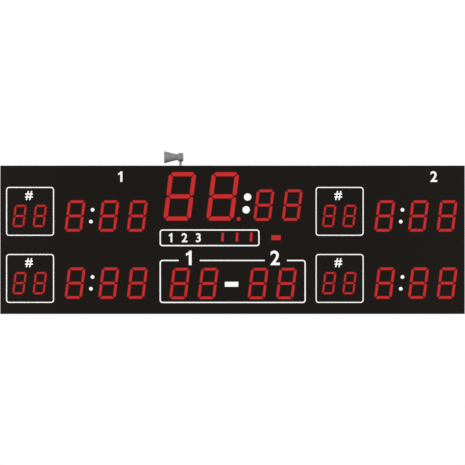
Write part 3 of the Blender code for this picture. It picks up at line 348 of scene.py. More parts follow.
def makeFloor():
    shape = bmesh.new()
    bmesh.ops.create_circle(shape, cap_ends=True, segments=96, radius=studio["floorRadius"])
    moved(shape, (0, 0, studio["floorZ"]))
    mesh = bpy.data.meshes.new("floor")
    shape.to_mesh(mesh)
    shape.free()
    tree, shader = startFinish("paleFloor", specular=0.1)
    spot = placeIn(tree)
    tone = addNode(tree, "TexNoise", {"Vector": spot, "Scale": 3.0}).outputs["Fac"]
    colour = blendColours(tree, tone, (0.86, 0.86, 0.86), (0.9, 0.9, 0.9))
    feed(tree, shader, {"Roughness": 0.9, "Base Color": colour})
    # it fades out round the board, and is open from below, so that the board can be looked at from there
    flat = calcVector(tree, "MULTIPLY", spot, (1, 1, 0))
    faded = spreadOut(tree, calcVector(tree, "LENGTH", flat, (0, 0, 0), "Value"), *studio["floorFade"])
    below = addNode(tree, "NewGeometry").outputs["Backfacing"]
    clear = addNode(tree, "BsdfTransparent").outputs[0]
    gone = calc(tree, "MAXIMUM", below, faded)
    both = addNode(tree, "MixShader", {0: gone, 1: shader.outputs[0], 2: clear}).outputs[0]
    feed(tree, tree.nodes["Material Output"], {"Surface": both})
    mesh.materials.append(finishes["paleFloor"])
    placeHolder("floor", mesh, (0, 0, 0))


makeStudio()
makeRoom()
makeFloor()
print("studio ready")


# Effects shared by several finishes

def makeGrain():
    group, entry, leave = startGroup("grain", {"Scale": 400.0, "Detail": 3.0, "Stretch": (1, 1, 1)}, "Value")
    along = calcVector(group, "MULTIPLY", placeIn(group), entry["Stretch"])
    noise = addNode(group, "TexNoise", {"Vector": along, "Scale": entry["Scale"], "Detail": entry["Detail"]})
    feed(group, leave, {"Value": noise.outputs["Fac"]})
    return group


def makeEdgeWear():
    # bright where the finish is rubbed through on an outer edge
    group, entry, leave = startGroup("edgeWear", {"Radius": 0.0006, "Scale": 60.0, "Amount": 0.5}, "Mask")
    rounded = addNode(group, "Bevel", {"Radius": entry["Radius"]}, samples=4).outputs[0]
    facing = addNode(group, "NewGeometry").outputs["Normal"]
    edge = spreadOut(group, calcVector(group, "DOT_PRODUCT", rounded, facing, "Value"), 0.985, 0.9)
    patch = addNode(group, "TexNoise", {"Vector": placeIn(group), "Scale": entry["Scale"], "Detail": 4.0})
    limit = calc(group, "SUBTRACT", 0.85, calc(group, "MULTIPLY", entry["Amount"], 0.5))
    bare = spreadOut(group, calc(group, "SUBTRACT", patch.outputs["Fac"], limit), 0.0, 0.08)
    feed(group, leave, {"Mask": calc(group, "MULTIPLY", edge, bare, clamp=True)})
    return group


def makeDust():
    # a thin veil on what faces up, and a little everywhere
    group, entry, leave = startGroup("dust", {"Amount": 0.3, "Scale": 18.0, "Everywhere": 0.1}, "Mask")
    coordinates = addNode(group, "TexCoord").outputs
    up = axesOf(group, coordinates["Normal"])["Z"]
    reach = calc(group, "MAXIMUM", spreadOut(group, up, 0.3, 1.0), entry["Everywhere"])
    cloud = addNode(group, "TexNoise", {"Vector": coordinates["Object"], "Scale": entry["Scale"],
                                        "Detail": 6.0, "Roughness": 0.7}).outputs["Fac"]
    thick = calc(group, "MULTIPLY", reach, spreadOut(group, cloud, 0.35, 0.75))
    feed(group, leave, {"Mask": calc(group, "MULTIPLY", thick, entry["Amount"], clamp=True)})
    return group


def makeSpangle():
    # crystals of hot-dip zinc
    group, entry, leave = startGroup("spangle", {"Scale": 90.0}, "Tone", "Rim")
    spot = placeIn(group)
    bent = addNode(group, "TexNoise", {"Vector": spot, "Scale": 60.0, "Detail": 2.0}).outputs["Color"]
    drift = addNode(group, "VectorMath", {0: bent, "Scale": 0.01}, operation="SCALE").outputs[0]
    cell = {"Vector": calcVector(group, "ADD", spot, drift), "Scale": entry["Scale"]}
    inside = addNode(group, "TexVoronoi", cell).outputs["Color"]
    tone = addNode(group, "SeparateColor", {0: inside}).outputs[0]
    rim = addNode(group, "TexVoronoi", cell, feature="DISTANCE_TO_EDGE").outputs["Distance"]
    feed(group, leave, {"Tone": tone, "Rim": spreadOut(group, rim, 0.0, 0.06)})
    return group


grain, edgeWear, dust, spangle = makeGrain(), makeEdgeWear(), makeDust(), makeSpangle()


# Finishes

dustColour = (0.24, 0.22, 0.2)
alongX = (0.02, 1.0, 1.0)      # grain drawn out along X


def bumpFrom(tree, shader, height, strength):
    bump = addNode(tree, "Bump", {"Height": height, "Strength": strength, "Distance": 0.0001})
    feed(tree, shader, {"Normal": bump.outputs[0]})


def makeFinish(name, colours, rough, fine, tone=None, veil=None, worn=None, relief=0.0,
               metallic=0.0, dulled=0.0, specular=0.5):
    # fine grain gives roughness and relief, and the colours too unless tone is given
    # veil is dust (amount, scale, everywhere, colour), worn is rubbed edges (radius, scale, amount, colour)
    tree, shader = startFinish(name, metallic, specular)
    texture = useGroup(tree, grain, *fine)[0]
    colour = colours[0]
    if len(colours) > 1:
        colour = blendColours(tree, useGroup(tree, grain, *tone)[0] if tone else texture, *colours)
    for group, values in ((dust, veil), (edgeWear, worn)):
        if values:
            mask = useGroup(tree, group, *values[:3])[0]
            colour = blendColours(tree, mask, colour, values[3])
        if values and group == dust and dulled:
            dull = calc(tree, "MULTIPLY", mask, dulled)
            feed(tree, shader, {"Metallic": calc(tree, "SUBTRACT", 1.0, dull)})
    feed(tree, shader, {"Base Color": colour, "Roughness": spreadOut(tree, texture, 0.3, 0.7, *rough)})
    if relief:
        bumpFrom(tree, shader, texture, relief)
    return tree, shader


def makeLitRed():
    # the filter over the lights: a brighter spot over each light
    look = {"dark": (0.43, 0.0085, 0.0095), "bright": (0.55, 0.012, 0.013), "pitch": 0.0105, "slant": 0.125}
    tree, shader = startFinish("litRed", specular=0.3)
    axes = axesOf(tree, placeIn(tree))
    straight = calc(tree, "SUBTRACT", axes["X"], calc(tree, "MULTIPLY", axes["Z"], look["slant"]))
    squares = []
    for value in (straight, axes["Z"]):
        share = calc(tree, "DIVIDE", calc(tree, "PINGPONG", value, look["pitch"] / 2), look["pitch"] / 2)
        squares.append(calc(tree, "MULTIPLY", share, share))
    lit = spreadOut(tree, calc(tree, "SQRT", calc(tree, "ADD", *squares)), 1.1, 0.2)
    glow = blendColours(tree, lit, look["dark"], look["bright"])
    rough = spreadOut(tree, useGroup(tree, grain, 300.0)[0], 0.3, 0.7, 0.3, 0.4)
    feed(tree, shader, {"Base Color": (0.06, 0.003, 0.003), "Emission Color": glow, "Emission Strength": 1.0,
                        "Roughness": rough})


def makeZinc():
    tree, shader = startFinish("zincSheet", metallic=1.0)
    tone, rim = useGroup(tree, spangle, 150.0)[:2]
    veil = useGroup(tree, dust, 0.5, 10.0, 0.12)[0]
    colour = blendColours(tree, tone, (0.5, 0.51, 0.53), (0.64, 0.65, 0.67))
    dull = calc(tree, "MULTIPLY", veil, 0.4)
    rough = calc(tree, "ADD", spreadOut(tree, tone, 0.0, 1.0, 0.46, 0.6), dull)
    colour = blendColours(tree, veil, colour, (0.4, 0.37, 0.34))
    feed(tree, shader, {"Base Color": colour, "Roughness": rough})
    bumpFrom(tree, shader, rim, 0.12)


def traceMask(tree, spot, axes):
    # thin copper tracks under the mask, along X and Z in patches
    pitch = 0.0026
    lines = [calc(tree, "LESS_THAN", calc(tree, "PINGPONG", axes[axis], pitch / 2), pitch * 0.12)
             for axis in "XZ"]
    patch = addNode(tree, "TexVoronoi", {"Vector": spot, "Scale": 26.0}, distance="CHEBYCHEV")
    pick = addNode(tree, "SeparateColor", {0: patch.outputs["Color"]}).outputs
    wide = calc(tree, "GREATER_THAN", pick[0], 0.5)
    chosen = addNode(tree, "Mix", {0: wide, 2: lines[0], 3: lines[1]}).outputs[0]
    return calc(tree, "MULTIPLY", chosen, calc(tree, "GREATER_THAN", pick[1], 0.25))


def makeBoardFinish(name, greens, copper, rough, relief, blocks=None):
    # green laminate; a white reflector lies before the first Y of blocks, a cream socket behind the second
    tree, shader = startFinish(name)
    spot = placeIn(tree)
    axes = axesOf(tree, spot)
    tracks = traceMask(tree, spot, axes)
    mask = blendColours(tree, useGroup(tree, grain, 40.0)[0], *greens)
    colour = blendColours(tree, tracks, mask, copper)
    if blocks:
        isWell = calc(tree, "LESS_THAN", axes["Y"], blocks[0])
        isPlug = calc(tree, "GREATER_THAN", axes["Y"], blocks[1])
        colour = blendColours(tree, isWell, colour, (0.74, 0.74, 0.72))
        colour = blendColours(tree, isPlug, colour, (0.62, 0.58, 0.48))
    fine = useGroup(tree, grain, 900.0)[0]
    feed(tree, shader, {"Base Color": colour, "Roughness": spreadOut(tree, fine, 0.3, 0.7, *rough)})
    bumpFrom(tree, shader, tracks, relief)


def makeLoomSleeve():
    # black braid drawn over the bundle
    tree, shader = startFinish("loomSleeve", specular=0.4)
    axes = axesOf(tree, placeIn(tree))
    ways = [calc(tree, operation, axes["Z"], axes["X"]) for operation in ("ADD", "SUBTRACT")]
    weave = calc(tree, "MULTIPLY", *[calc(tree, "PINGPONG", way, 0.0006) for way in ways])
    strand = spreadOut(tree, weave, 0.0, 2.0e-7)
    colour = blendColours(tree, strand, (0.008, 0.008, 0.008), (0.04, 0.04, 0.042))
    colour = blendColours(tree, useGroup(tree, dust, 0.3, 60.0, 0.2)[0], colour, dustColour)
    feed(tree, shader, {"Base Color": colour, "Roughness": spreadOut(tree, strand, 0.0, 1.0, 0.62, 0.42)})
    bumpFrom(tree, shader, strand, 0.3)


makeFinish("facePowder", ((0.0048, 0.0032, 0.0022), (0.006, 0.0041, 0.0029)), (0.42, 0.5), (520.0, 2.0),
           (3.0,), (0.35, 14.0, 0.0, dustColour), (0.0007, 45.0, 0.35, (0.35, 0.35, 0.36)), 0.25,
           specular=0.12)
makeFinish("whiteFilm", ((0.8, 0.8, 0.79), (0.86, 0.86, 0.85)), (0.42, 0.55), (700.0,), (25.0,),
           relief=0.1, specular=0.4)
makeFinish("blackAnodised", ((0.03, 0.03, 0.032), (0.046, 0.046, 0.049)), (0.34, 0.48),
           (900.0, 3.0, alongX), veil=(0.5, 12.0, 0.05, dustColour),
           worn=(0.0006, 30.0, 0.3, (0.45, 0.45, 0.46)), relief=0.08, metallic=1.0, dulled=0.9)
makeFinish("brushedStainless", ((0.57, 0.57, 0.58), (0.61, 0.61, 0.62)), (0.27, 0.36), (2600.0, 3.0, alongX),
           veil=(0.3, 20.0, 0.05, (0.35, 0.33, 0.3)), relief=0.03, metallic=1.0)
makeFinish("blackRubber", ((0.012, 0.012, 0.012), (0.022, 0.022, 0.021)), (0.72, 0.92), (1400.0, 5.0),
           veil=(0.5, 30.0, 0.2, (0.1, 0.095, 0.09)), relief=0.35, specular=0.3)
makeFinish("strutPaint", ((0.012, 0.012, 0.013),), (0.24, 0.34), (700.0, 1.0),
           worn=(0.0005, 120.0, 0.4, (0.3, 0.3, 0.3)), relief=0.12)
makeFinish("switchPlastic", ((0.014, 0.014, 0.014), (0.024, 0.024, 0.024)), (0.34, 0.5), (2200.0, 2.0),
           veil=(0.25, 60.0, 0.15, (0.12, 0.115, 0.11)), relief=0.25)
makeFinish("hornEnamel", ((0.175, 0.175, 0.173), (0.215, 0.215, 0.213)), (0.38, 0.52), (420.0, 1.0),
           (26.0, 4.0), (0.4, 40.0, 0.05, (0.3, 0.28, 0.26)), (0.0007, 90.0, 0.45, (0.5, 0.5, 0.5)), 0.2,
           specular=0.45)
# the dark red filter where no light stands behind it, with a painted glow: its emission makes it shine as if
# lit
tree, shader = makeFinish("lensRedPaintedGlow", ((0.05, 0.002, 0.002), (0.075, 0.003, 0.003)), (0.22, 0.32), (900.0,),
                          (60.0,), specular=0.3)
# painted glow: emission on the filter with no light behind it
feed(tree, shader, {"Emission Color": (0.13, 0.0015, 0.002), "Emission Strength": 1.0})

# bright plated or tinned metal with a little dulling: colours and roughness
platings = {
    "zincPlate": ((0.5, 0.5, 0.5), (0.66, 0.66, 0.64), 0.25, 0.42),
    "solderTin": ((0.56, 0.56, 0.55), (0.72, 0.72, 0.71), 0.18, 0.32),
    "brass": ((0.58, 0.42, 0.17), (0.72, 0.55, 0.26), 0.22, 0.36),
    "trayZinc": ((0.46, 0.46, 0.46), (0.6, 0.6, 0.59), 0.34, 0.48),
    "coverAluminium": ((0.66, 0.66, 0.66), (0.78, 0.78, 0.78), 0.38, 0.52),
    "railZinc": ((0.26, 0.27, 0.29), (0.35, 0.36, 0.38), 0.3, 0.44),
    "rodSteel": ((0.58, 0.58, 0.6), (0.7, 0.7, 0.72), 0.1, 0.18),
}
for name, (dark, light, low, high) in platings.items():
    makeFinish(name, (dark, light), (low, high), (260.0,), veil=(0.4, 60.0, 0.1, (0.3, 0.28, 0.25)),
               relief=0.08, metallic=1.0)

# moulded plastic or sleeve, with a slow drift of colour: colours and roughness, some with grain and relief
plastics = {
    "chipBlack": ((0.01, 0.01, 0.011), (0.02, 0.02, 0.021), 0.42, 0.58, 1600.0, 0.2),
    "plugCream": ((0.56, 0.52, 0.42), (0.66, 0.62, 0.52), 0.35, 0.5),
    "relayBlue": ((0.01, 0.055, 0.2), (0.016, 0.08, 0.27), 0.22, 0.34),
    "canSleeve": ((0.01, 0.014, 0.045), (0.016, 0.022, 0.07), 0.18, 0.28),
    "resistorBlack": ((0.012, 0.012, 0.013), (0.03, 0.03, 0.032), 0.3, 0.42),
    "terminalGreen": ((0.01, 0.12, 0.045), (0.016, 0.17, 0.065), 0.3, 0.42),
    "wireRed": ((0.36, 0.01, 0.01), (0.48, 0.016, 0.014), 0.3, 0.42),
    "wireBlack": ((0.012, 0.012, 0.012), (0.022, 0.022, 0.022), 0.3, 0.42),
    "wireBrown": ((0.075, 0.028, 0.01), (0.11, 0.042, 0.016), 0.3, 0.42),
    "wireBlue": ((0.012, 0.055, 0.3), (0.018, 0.085, 0.42), 0.3, 0.42),
    "wireGreen": ((0.16, 0.26, 0.012), (0.34, 0.4, 0.016), 0.3, 0.42),
    "ribbonGrey": ((0.3, 0.3, 0.31), (0.4, 0.4, 0.41), 0.38, 0.5),
    "nylon": ((0.62, 0.61, 0.57), (0.74, 0.73, 0.69), 0.3, 0.42),
}
for name, (dark, light, low, high, *touch) in plastics.items():
    scale, relief = touch or (900.0, 0.12)
    makeFinish(name, (dark, light), (low, high), (scale,), (45.0, 4.0), (0.25, 50.0, 0.15, dustColour),
               relief=relief, specular=0.45)

plugRise = 0.0065
laminate = 0.0016
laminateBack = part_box("score_led_board")[1].y - plugRise
makeBoardFinish("circuitBoard", ((0.006, 0.06, 0.026), (0.009, 0.085, 0.036)), (0.02, 0.15, 0.062),
                (0.32, 0.46), 0.15, (laminateBack - laminate, laminateBack + 0.0001))
makeBoardFinish("laminate", ((0.005, 0.05, 0.022), (0.008, 0.075, 0.032)), (0.018, 0.135, 0.056),
                (0.25, 0.38), 0.2)
makeLitRed()
makeZinc()
makeLoomSleeve()

finishOfSlot = {
    "face_sheet": "facePowder",
    "frame_aluminium": "blackAnodised",
    "red_lens": "lensRedPaintedGlow",
    "circuit_board": "circuitBoard",
    "zinc_steel": "zincSheet",
    "rubber_seal": "blackRubber",
    "stainless": "brushedStainless",
    "strut_paint": "strutPaint",
    "switch_plastic": "switchPlastic",
    "horn_enamel": "hornEnamel",
}
for part in frame["record"]["subparts"]:
    node = nodes[part["node"]]
    node.data.materials.clear()
    node.data.materials.append(finishes[finishOfSlot[part["material_slot"]]])
for name in ("hanging_rail", "wall_rail", "lower_spacer_left", "lower_spacer_right"):
    nodes[name].data.materials[0] = finishes["railZinc"]
print("finishes on", len(nodes), "nodes")


# White print on the face: heights are above the board's bottom edge

facePrint = {
    "thickness": 0.0002,
    "line": 0.0077,
    "numberLine": 0.0063,
    "corner": 0.019,
    "dashCorner": 0.0006,
    "numberFrames": [(-1.4037, -1.1064), (0.5154, 0.813)],
    "numberRows": [(0.4849, 0.7877), (0.0689, 0.3718)],
    "periodFrame": ((-0.4517, 0.42), (0.1677, 0.5244)),
    "scoreFrame": ((-0.4519, 0.0678), (0.4541, 0.3356)),
    "scoreGaps": [(-0.3334, -0.203), (0.1998, 0.3375)],
    "clockDots": [(0.0937, 0.7253), (0.0846, 0.6462)],
    "clockDotRadius": 0.0227,
    "timeDots": [(-0.8676, 0.646), (-0.8777, 0.5728), (1.0537, 0.6457), (1.0434, 0.5727)],
    "timeDotRadius": 0.0113,
    "rowDrop": 0.4163,
    "scoreDash": ((-0.0472, 0.1687), (0.036, 0.1995)),
    # text, middle (x, height), cap height
    "marks": [
        ("2", (1.248, 0.852), 0.066),
        ("2", (0.2641, 0.348), 0.09),
        ("2", (-0.2975, 0.473), 0.056),
        ("3", (-0.212, 0.473), 0.056),
        ("#", (-1.2615, 0.7345), 0.056),
        ("#", (0.656, 0.7345), 0.056),
        ("#", (-1.2615, 0.3182), 0.056),
        ("#", (0.656, 0.3182), 0.056),
    ],
    # the figure one, drawn in cap heights round its middle
    "ones": [((-0.694, 0.852), 0.066), ((-0.269, 0.348), 0.09), ((-0.383, 0.473), 0.056)],
    "oneOutline": [(-0.02, -0.5), (0.17, -0.5), (0.17, 0.5), (0.03, 0.5), (-0.07, 0.37), (-0.22, 0.3),
                   (-0.22, 0.15), (-0.02, 0.22)],
}
faceUp = Matrix.Rotation(quarter, 4, "X")      # turns what is drawn in X and Y to X and Z


def onFace(x, height):
    return Vector((x, faceLow.y, faceLow.z + height))


def roundedPlate(low, high, corner):
    # a flat rectangle on the face with round corners
    shape = bmesh.new()
    size = Matrix.Diagonal((high[0] - low[0], high[1] - low[1], 1, 1))
    place = Matrix.Translation(onFace((low[0] + high[0]) / 2, (low[1] + high[1]) / 2)) @ faceUp @ size
    bmesh.ops.create_grid(shape, x_segments=1, y_segments=1, size=0.5, matrix=place)
    return bevelled(shape, shape.verts[:], corner, 10, "VERTICES")


def frameLine(low, high, line, gaps=()):
    # a rounded frame line; each gap opens its top side between two x values
    shape = roundedPlate(low, high, facePrint["corner"])
    inner = shape.faces[:]
    bmesh.ops.inset_region(shape, faces=inner, thickness=line, use_boundary=True, use_even_offset=True)
    bmesh.ops.delete(shape, geom=inner, context="FACES_ONLY")
    topEdge = faceLow.z + high[1] - 2 * line
    for gap in gaps:
        for x in gap:
            bmesh.ops.bisect_plane(shape, geom=shape.verts[:] + shape.edges[:] + shape.faces[:],
                                   plane_co=(x, 0, 0), plane_no=(1, 0, 0), dist=weld)
        middles = {face: face.calc_center_median() for face in shape.faces}
        between = [face for face, spot in middles.items() if gap[0] < spot.x < gap[1] and spot.z > topEdge]
        bmesh.ops.delete(shape, geom=between, context="FACES")
    return shape


def addDisc(target, x, height, radius, segments=40):
    place = Matrix.Translation(onFace(x, height)) @ faceUp
    bmesh.ops.create_circle(target, cap_ends=True, segments=segments, radius=radius, matrix=place)


def addText(target, words, middle, height):
    # sized and placed by the text's own outline
    curve = bpy.data.curves.new("mark", "FONT")
    curve.body = words
    curve.resolution_u = 6
    curve.offset = 0.018
    mesh = meshOf(curve)
    ends = [[choose(vertex.co[axis] for vertex in mesh.vertices) for choose in (min, max)] for axis in (0, 1)]
    centre = Vector((*[(low + high) / 2 for low, high in ends], 0))
    scale = Matrix.Scale(height / (ends[1][1] - ends[1][0]), 4)
    mesh.transform(Matrix.Translation(onFace(*middle)) @ faceUp @ scale @ Matrix.Translation(-centre))
    target.from_mesh(mesh)
    bpy.data.meshes.remove(mesh)


def makeFacePrint():
    numbers, clock, times, marks = [bmesh.new() for kind in range(4)]
    for left, right in facePrint["numberFrames"]:
        for low, high in facePrint["numberRows"]:
            stamp(numbers, frameLine((left, low), (right, high), facePrint["numberLine"]))
    for x, height in facePrint["clockDots"]:
        addDisc(clock, x, height, facePrint["clockDotRadius"], 56)
    for x, height in facePrint["timeDots"]:
        for drop in (0.0, facePrint["rowDrop"]):
            addDisc(times, x, height - drop, facePrint["timeDotRadius"])
    for words, middle, height in facePrint["marks"]:
        addText(marks, words, middle, height)
    for (x, middle), height in facePrint["ones"]:
        marks.faces.new([marks.verts.new(onFace(x + across * height, middle + up * height))
                         for across, up in facePrint["oneOutline"]])
    films = {"number_frames": numbers, "clock_colon": clock, "penalty_colons": times, "place_marks": marks,
             "period_frame": frameLine(*facePrint["periodFrame"], facePrint["line"]),
             "score_frame": frameLine(*facePrint["scoreFrame"], facePrint["line"], facePrint["scoreGaps"]),
             "score_dash": roundedPlate(*facePrint["scoreDash"], facePrint["dashCorner"])}
    for name, film in films.items():
        bmesh.ops.remove_doubles(film, verts=film.verts, dist=weld)
        newPiece(name, "front", "face_sheet", "whiteFilm", drawnOut(film, (0, -facePrint["thickness"], 0)))


makeFacePrint()
print("face print done")


# Lit part of each segment, taken from the cut-outs of the sheet

litPart = {
    "rim": 0.0028,         # filter with no light behind it, left round each lit part; it carries the lens finish's painted glow
    "wideRim": 0.0016,     # the same round the period's bars and what is wider than "wide"
    "wide": 0.02,
    "thickness": 0.0001,
    "room": 0.001,         # what is nearer to the sheet's edge is no segment
}


def makeLitSegments():
    shape = bmesh.new()
    shape.from_mesh(nodes["front_panel"].data)
    bmesh.ops.remove_doubles(shape, verts=shape.verts, dist=weld)
    room = litPart["room"]
    middles = {face: face.calc_center_median() for face in shape.faces}
    others = [face for face, spot in middles.items()
              if abs(face.normal.y) > 0.5 or abs(spot.x) > faceHigh.x - room
              or not faceLow.z + room < spot.z < faceHigh.z - room]
    bmesh.ops.delete(shape, geom=others, context="FACES")
    rims = [edge for edge in shape.edges
            if edge.is_boundary and all(vertex.co.y < faceLow.y + room for vertex in edge.verts)]
    walls = shape.faces[:]
    bmesh.ops.edgeloop_fill(shape, edges=rims)
    bmesh.ops.delete(shape, geom=walls, context="FACES")
    print("segments found:", len(shape.faces))
    axes, wide, narrow = [], [], []
    periodLow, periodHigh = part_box("period_lens")
    for face in shape.faces:
        longest = max(face.edges, key=lambda edge: edge.calc_length())
        along = (longest.verts[1].co - longest.verts[0].co).normalized()
        reach = [vertex.co.dot(along) for vertex in face.verts]
        length = max(reach) - min(reach)
        centre = face.calc_center_median()
        axes.append((centre, along, length))
        inPeriod = periodLow.x < centre.x < periodHigh.x and periodLow.z < centre.z < periodHigh.z
        chosen = wide if inPeriod or face.calc_area() / length > litPart["wide"] else narrow
        chosen.append(face)
    print("wide segments:", len(wide))
    unlit = []
    for faces, rim in ((wide, litPart["wideRim"]), (narrow, litPart["rim"])):
        unlit += bmesh.ops.inset_individual(shape, faces=faces, thickness=rim, use_even_offset=True)["faces"]
    bmesh.ops.delete(shape, geom=unlit, context="FACES")
    moved(shape, (0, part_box("score_lens")[0].y - faceLow.y, 0))
    newPiece("lit_segments", "front", "red_lens", "litRed", drawnOut(shape, (0, -litPart["thickness"], 0)))
    return axes


segmentAxes = makeLitSegments()
print("segments lit")


# Screws, rivets, nuts and washers, all drawn standing on z = 0

cabinetMetal = ("cabinet", "stainless", "zincPlate")
frontMetal = ("front", "stainless", "zincPlate")
cabinetPlastic = ("cabinet", "switch_plastic")
frontPlastic = ("front", "switch_plastic")


def rivetHead(radius, rise):
    # domed flange with the hollow that the broken mandrel leaves
    shape = [(0, 0), (1, 0), (1, 0.25), (0.8, 0.75), (0.5, 1), (0.34, 0.9), (0.3, 0.45), (0, 0.5)]
    return turnedPart([(radius * across, rise * up) for across, up in shape], 16)


def rivetTail(radius, rise):
    shape = [(0, 0), (0.8, 0), (1, 0.4), (0.85, 0.8), (0.4, 1), (0, 0.96)]
    return turnedPart([(radius * across, rise * up) for across, up in shape], 12)


def washer(radius, bore, thickness, sides=24):
    ease = thickness * 0.2
    return turnedPart([(bore, 0), (radius, 0), (radius, thickness - ease), (radius - ease, thickness),
                       (bore, thickness), (bore, 0)], sides)


def hexBlock(width, height, ease=0.0003):
    part = bmesh.new()
    bmesh.ops.create_circle(part, cap_ends=True, segments=6, radius=width / math.sqrt(3))
    return easeAll(drawnOut(part, (0, 0, height)), ease)


def threadEnd(radius, length, pitch=0.0007, sides=14):
    # threaded stud with a cut tip
    profile = [(0, 0), (radius, 0)]
    for step in range(int(length / pitch) - 1):
        profile += [(radius * 0.86, (step + 0.5) * pitch), (radius, (step + 1) * pitch)]
    return turnedPart(profile + [(radius * 0.75, length), (0, length)], sides)


def drivenHead(radius, rise, drive, sides):
    # pan head with a recess for the tool
    part = turnedPart([(0, 0), (radius, 0), (radius, rise * 0.4), (radius * 0.88, rise * 0.8),
                       (radius * 0.64, rise)], sides)
    rim = [edge for edge in part.edges if edge.is_boundary]
    reach, half, arm = radius * 0.48, radius * 0.12, radius * 0.144
    # corners of one arm of the recess, and how many arms it has
    outline, arms = {"cross": ([(reach, -arm), (reach, arm), (arm, arm)], 4),
                     "slot": ([(reach, -half), (reach, half)], 2),
                     "hex": ([(reach, 0)], 6)}[drive]
    corners = [part.verts.new((*(Matrix.Rotation(math.tau * turn / arms, 2) @ Vector(corner)), rise))
               for turn in range(arms) for corner in outline]
    inner = [part.edges.new(pair) for pair in zip(corners, corners[1:] + corners[:1])]
    bmesh.ops.bridge_loops(part, edges=rim + inner)
    moved(part, (0, 0, -rise * 0.6), cornersOf(bmesh.ops.extrude_edge_only(part, edges=inner)))
    bmesh.ops.edgeloop_fill(part, edges=[edge for edge in part.edges if edge.is_boundary])
    bmesh.ops.recalc_face_normals(part, faces=part.faces)
    return part


# Rivets and screws of the cabinet and the front

fixings = {
    "panelInset": 0.012,       # from the back panel's edge
    "panelPitch": 0.15,
    "panelRivet": (0.0036, 0.0012),
    "panelTail": (0.0026, 0.0035),
    "railBolts": 11,
    "railBoltReach": 1.15,
    "railBoltDrop": 0.013,     # from the rail's top
    "railTab": 0.0033,
    "railBolt": (0.0048, 0.0028, "hex", 24),
    "spacerScrew": (0.004, 0.0024, "cross", 20),
    "spacerInset": (0.0095, 0.014),
    "spacerWeb": 0.003,
    "hingePitch": 0.1,
    "hingeRivet": (0.0026, 0.0009),
    "hingeEnd": 0.022,
    "hingeWall": 0.0014,
    "hingeRows": (0.0062, 0.0055),     # from the cabinet leaf's back, and from the front leaf's front
    "frameInset": 0.0032,              # from the flange's inner edge
    "frameEnd": 0.045,
    "framePitch": 0.12,
    "frameRivet": (0.0024, 0.001),
    "frameWall": 0.0023,
}


def makePanelRivets():
    inset, pitch = fixings["panelInset"], fixings["panelPitch"]
    low, high = panelLow + Vector((inset, 0, inset)), panelHigh - Vector((inset, 0, inset))
    spots = [(x, z) for z in (low.z, high.z) for x in spread(low.x, high.x, pitch)]
    spots += [(x, z) for x in (low.x, high.x) for z in spread(low.z, high.z, pitch)[1:-1]]
    heads = [standOn((x, panelHigh.y, z), toWall) for x, z in spots]
    tails = [standOn((x, flange, z), toRoom) for x, z in spots]
    assemble("panel_rivets", *cabinetMetal, (rivetHead(*fixings["panelRivet"]), heads))
    assemble("panel_rivet_tails", *cabinetMetal, (rivetTail(*fixings["panelTail"]), tails))


def makeRailBolts():
    count = fixings["railBolts"]
    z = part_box("hanging_rail")[1].z - fixings["railBoltDrop"]
    xs = centred(count, 2 * fixings["railBoltReach"] / (count - 1))
    heads = [standOn((x, panelHigh.y + fixings["railTab"], z), toWall, x * 9) for x in xs]
    inside = [standOn((x, panelLow.y, z), toRoom, x * 7) for x in xs]
    assemble("rail_bolts", *cabinetMetal,
             (drivenHead(*fixings["railBolt"]), heads),
             (washer(0.006, 0.0026, 0.0012), inside),
             (hexBlock(0.008, 0.004), shifted(inside, z=0.0012)),
             (threadEnd(0.0024, 0.0036), shifted(inside, z=0.004)))


def makeSpacerScrews():
    heads, tails = [], []
    insetX, insetZ = fixings["spacerInset"]
    for side in ("left", "right"):
        low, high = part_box(f"lower_spacer_{side}")
        for x in (low.x + insetX, high.x - insetX):
            for z in (low.z + insetZ, high.z - insetZ):
                heads.append(standOn((x, low.y + fixings["spacerWeb"], z), toWall, x * 31 + z * 17))
                tails.append(standOn((x, panelLow.y, z), toRoom, x * 23 + z * 11))
    assemble("spacer_screws", *cabinetMetal, (drivenHead(*fixings["spacerScrew"]), heads),
             (hexBlock(0.007, 0.0032), tails), (threadEnd(0.0019, 0.0052), tails))


def makeHingeRivets():
    cabinetLow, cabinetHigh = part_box("hinge_leaf_cabinet")
    frontLow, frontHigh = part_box("hinge_leaf_front")
    wall, (back, ahead) = fixings["hingeWall"], fixings["hingeRows"]
    web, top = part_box("cabinet_frame_top")[1].z - cabinetWall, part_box("front_frame_top")[1].z
    ends = cabinetHigh.x - fixings["hingeEnd"]
    rows = (("cabinet", cabinetHigh.y - back, cabinetLow.z + wall, web, 0.003),
            ("front", frontLow.y + ahead, top, frontHigh.z - wall, 0.002))
    for body, y, above, below, tail in rows:
        heads, tails = [[standOn((x, y, z), facing) for x in spread(-ends, ends, fixings["hingePitch"])]
                        for z, facing in ((above, upward), (below, downward))]
        assemble(f"hinge_rivets_{body}", body, "stainless", "brushedStainless",
                 (rivetHead(*fixings["hingeRivet"]), heads), (rivetTail(0.0021, tail), tails))


def makeFrameRivets():
    inset, end, pitch = fixings["frameInset"], fixings["frameEnd"], fixings["framePitch"]
    spots = []
    for side in ("top", "bottom", "left", "right"):
        low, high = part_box(f"front_frame_{side}")
        if side in ("top", "bottom"):
            z = low.z + inset if side == "top" else high.z - inset
            spots += [(x, z) for x in spread(low.x + end, high.x - end, pitch)]
        else:
            x = high.x - inset if side == "left" else low.x + inset
            spots += [(x, z) for z in spread(low.z + end, high.z - end, pitch)]
    places = [standOn((x, faceHigh.y + fixings["frameWall"], z), toWall) for x, z in spots]
    assemble("frame_rivets", *frontMetal, (rivetHead(*fixings["frameRivet"]), places))


makePanelRivets()
makeRailBolts()
makeSpacerScrews()
makeHingeRivets()
makeFrameRivets()
print("rivets and screws placed")


# Board components, drawn standing on z = 0: paint 0 is the body, 1 is metal

def channel(half, wall, low, floor, top):
    # outline of a channel that opens towards top
    return [(-half, low), (half, low), (half, top), (half - wall, top), (half - wall, floor),
            (wall - half, floor), (wall - half, top), (-half, top)]


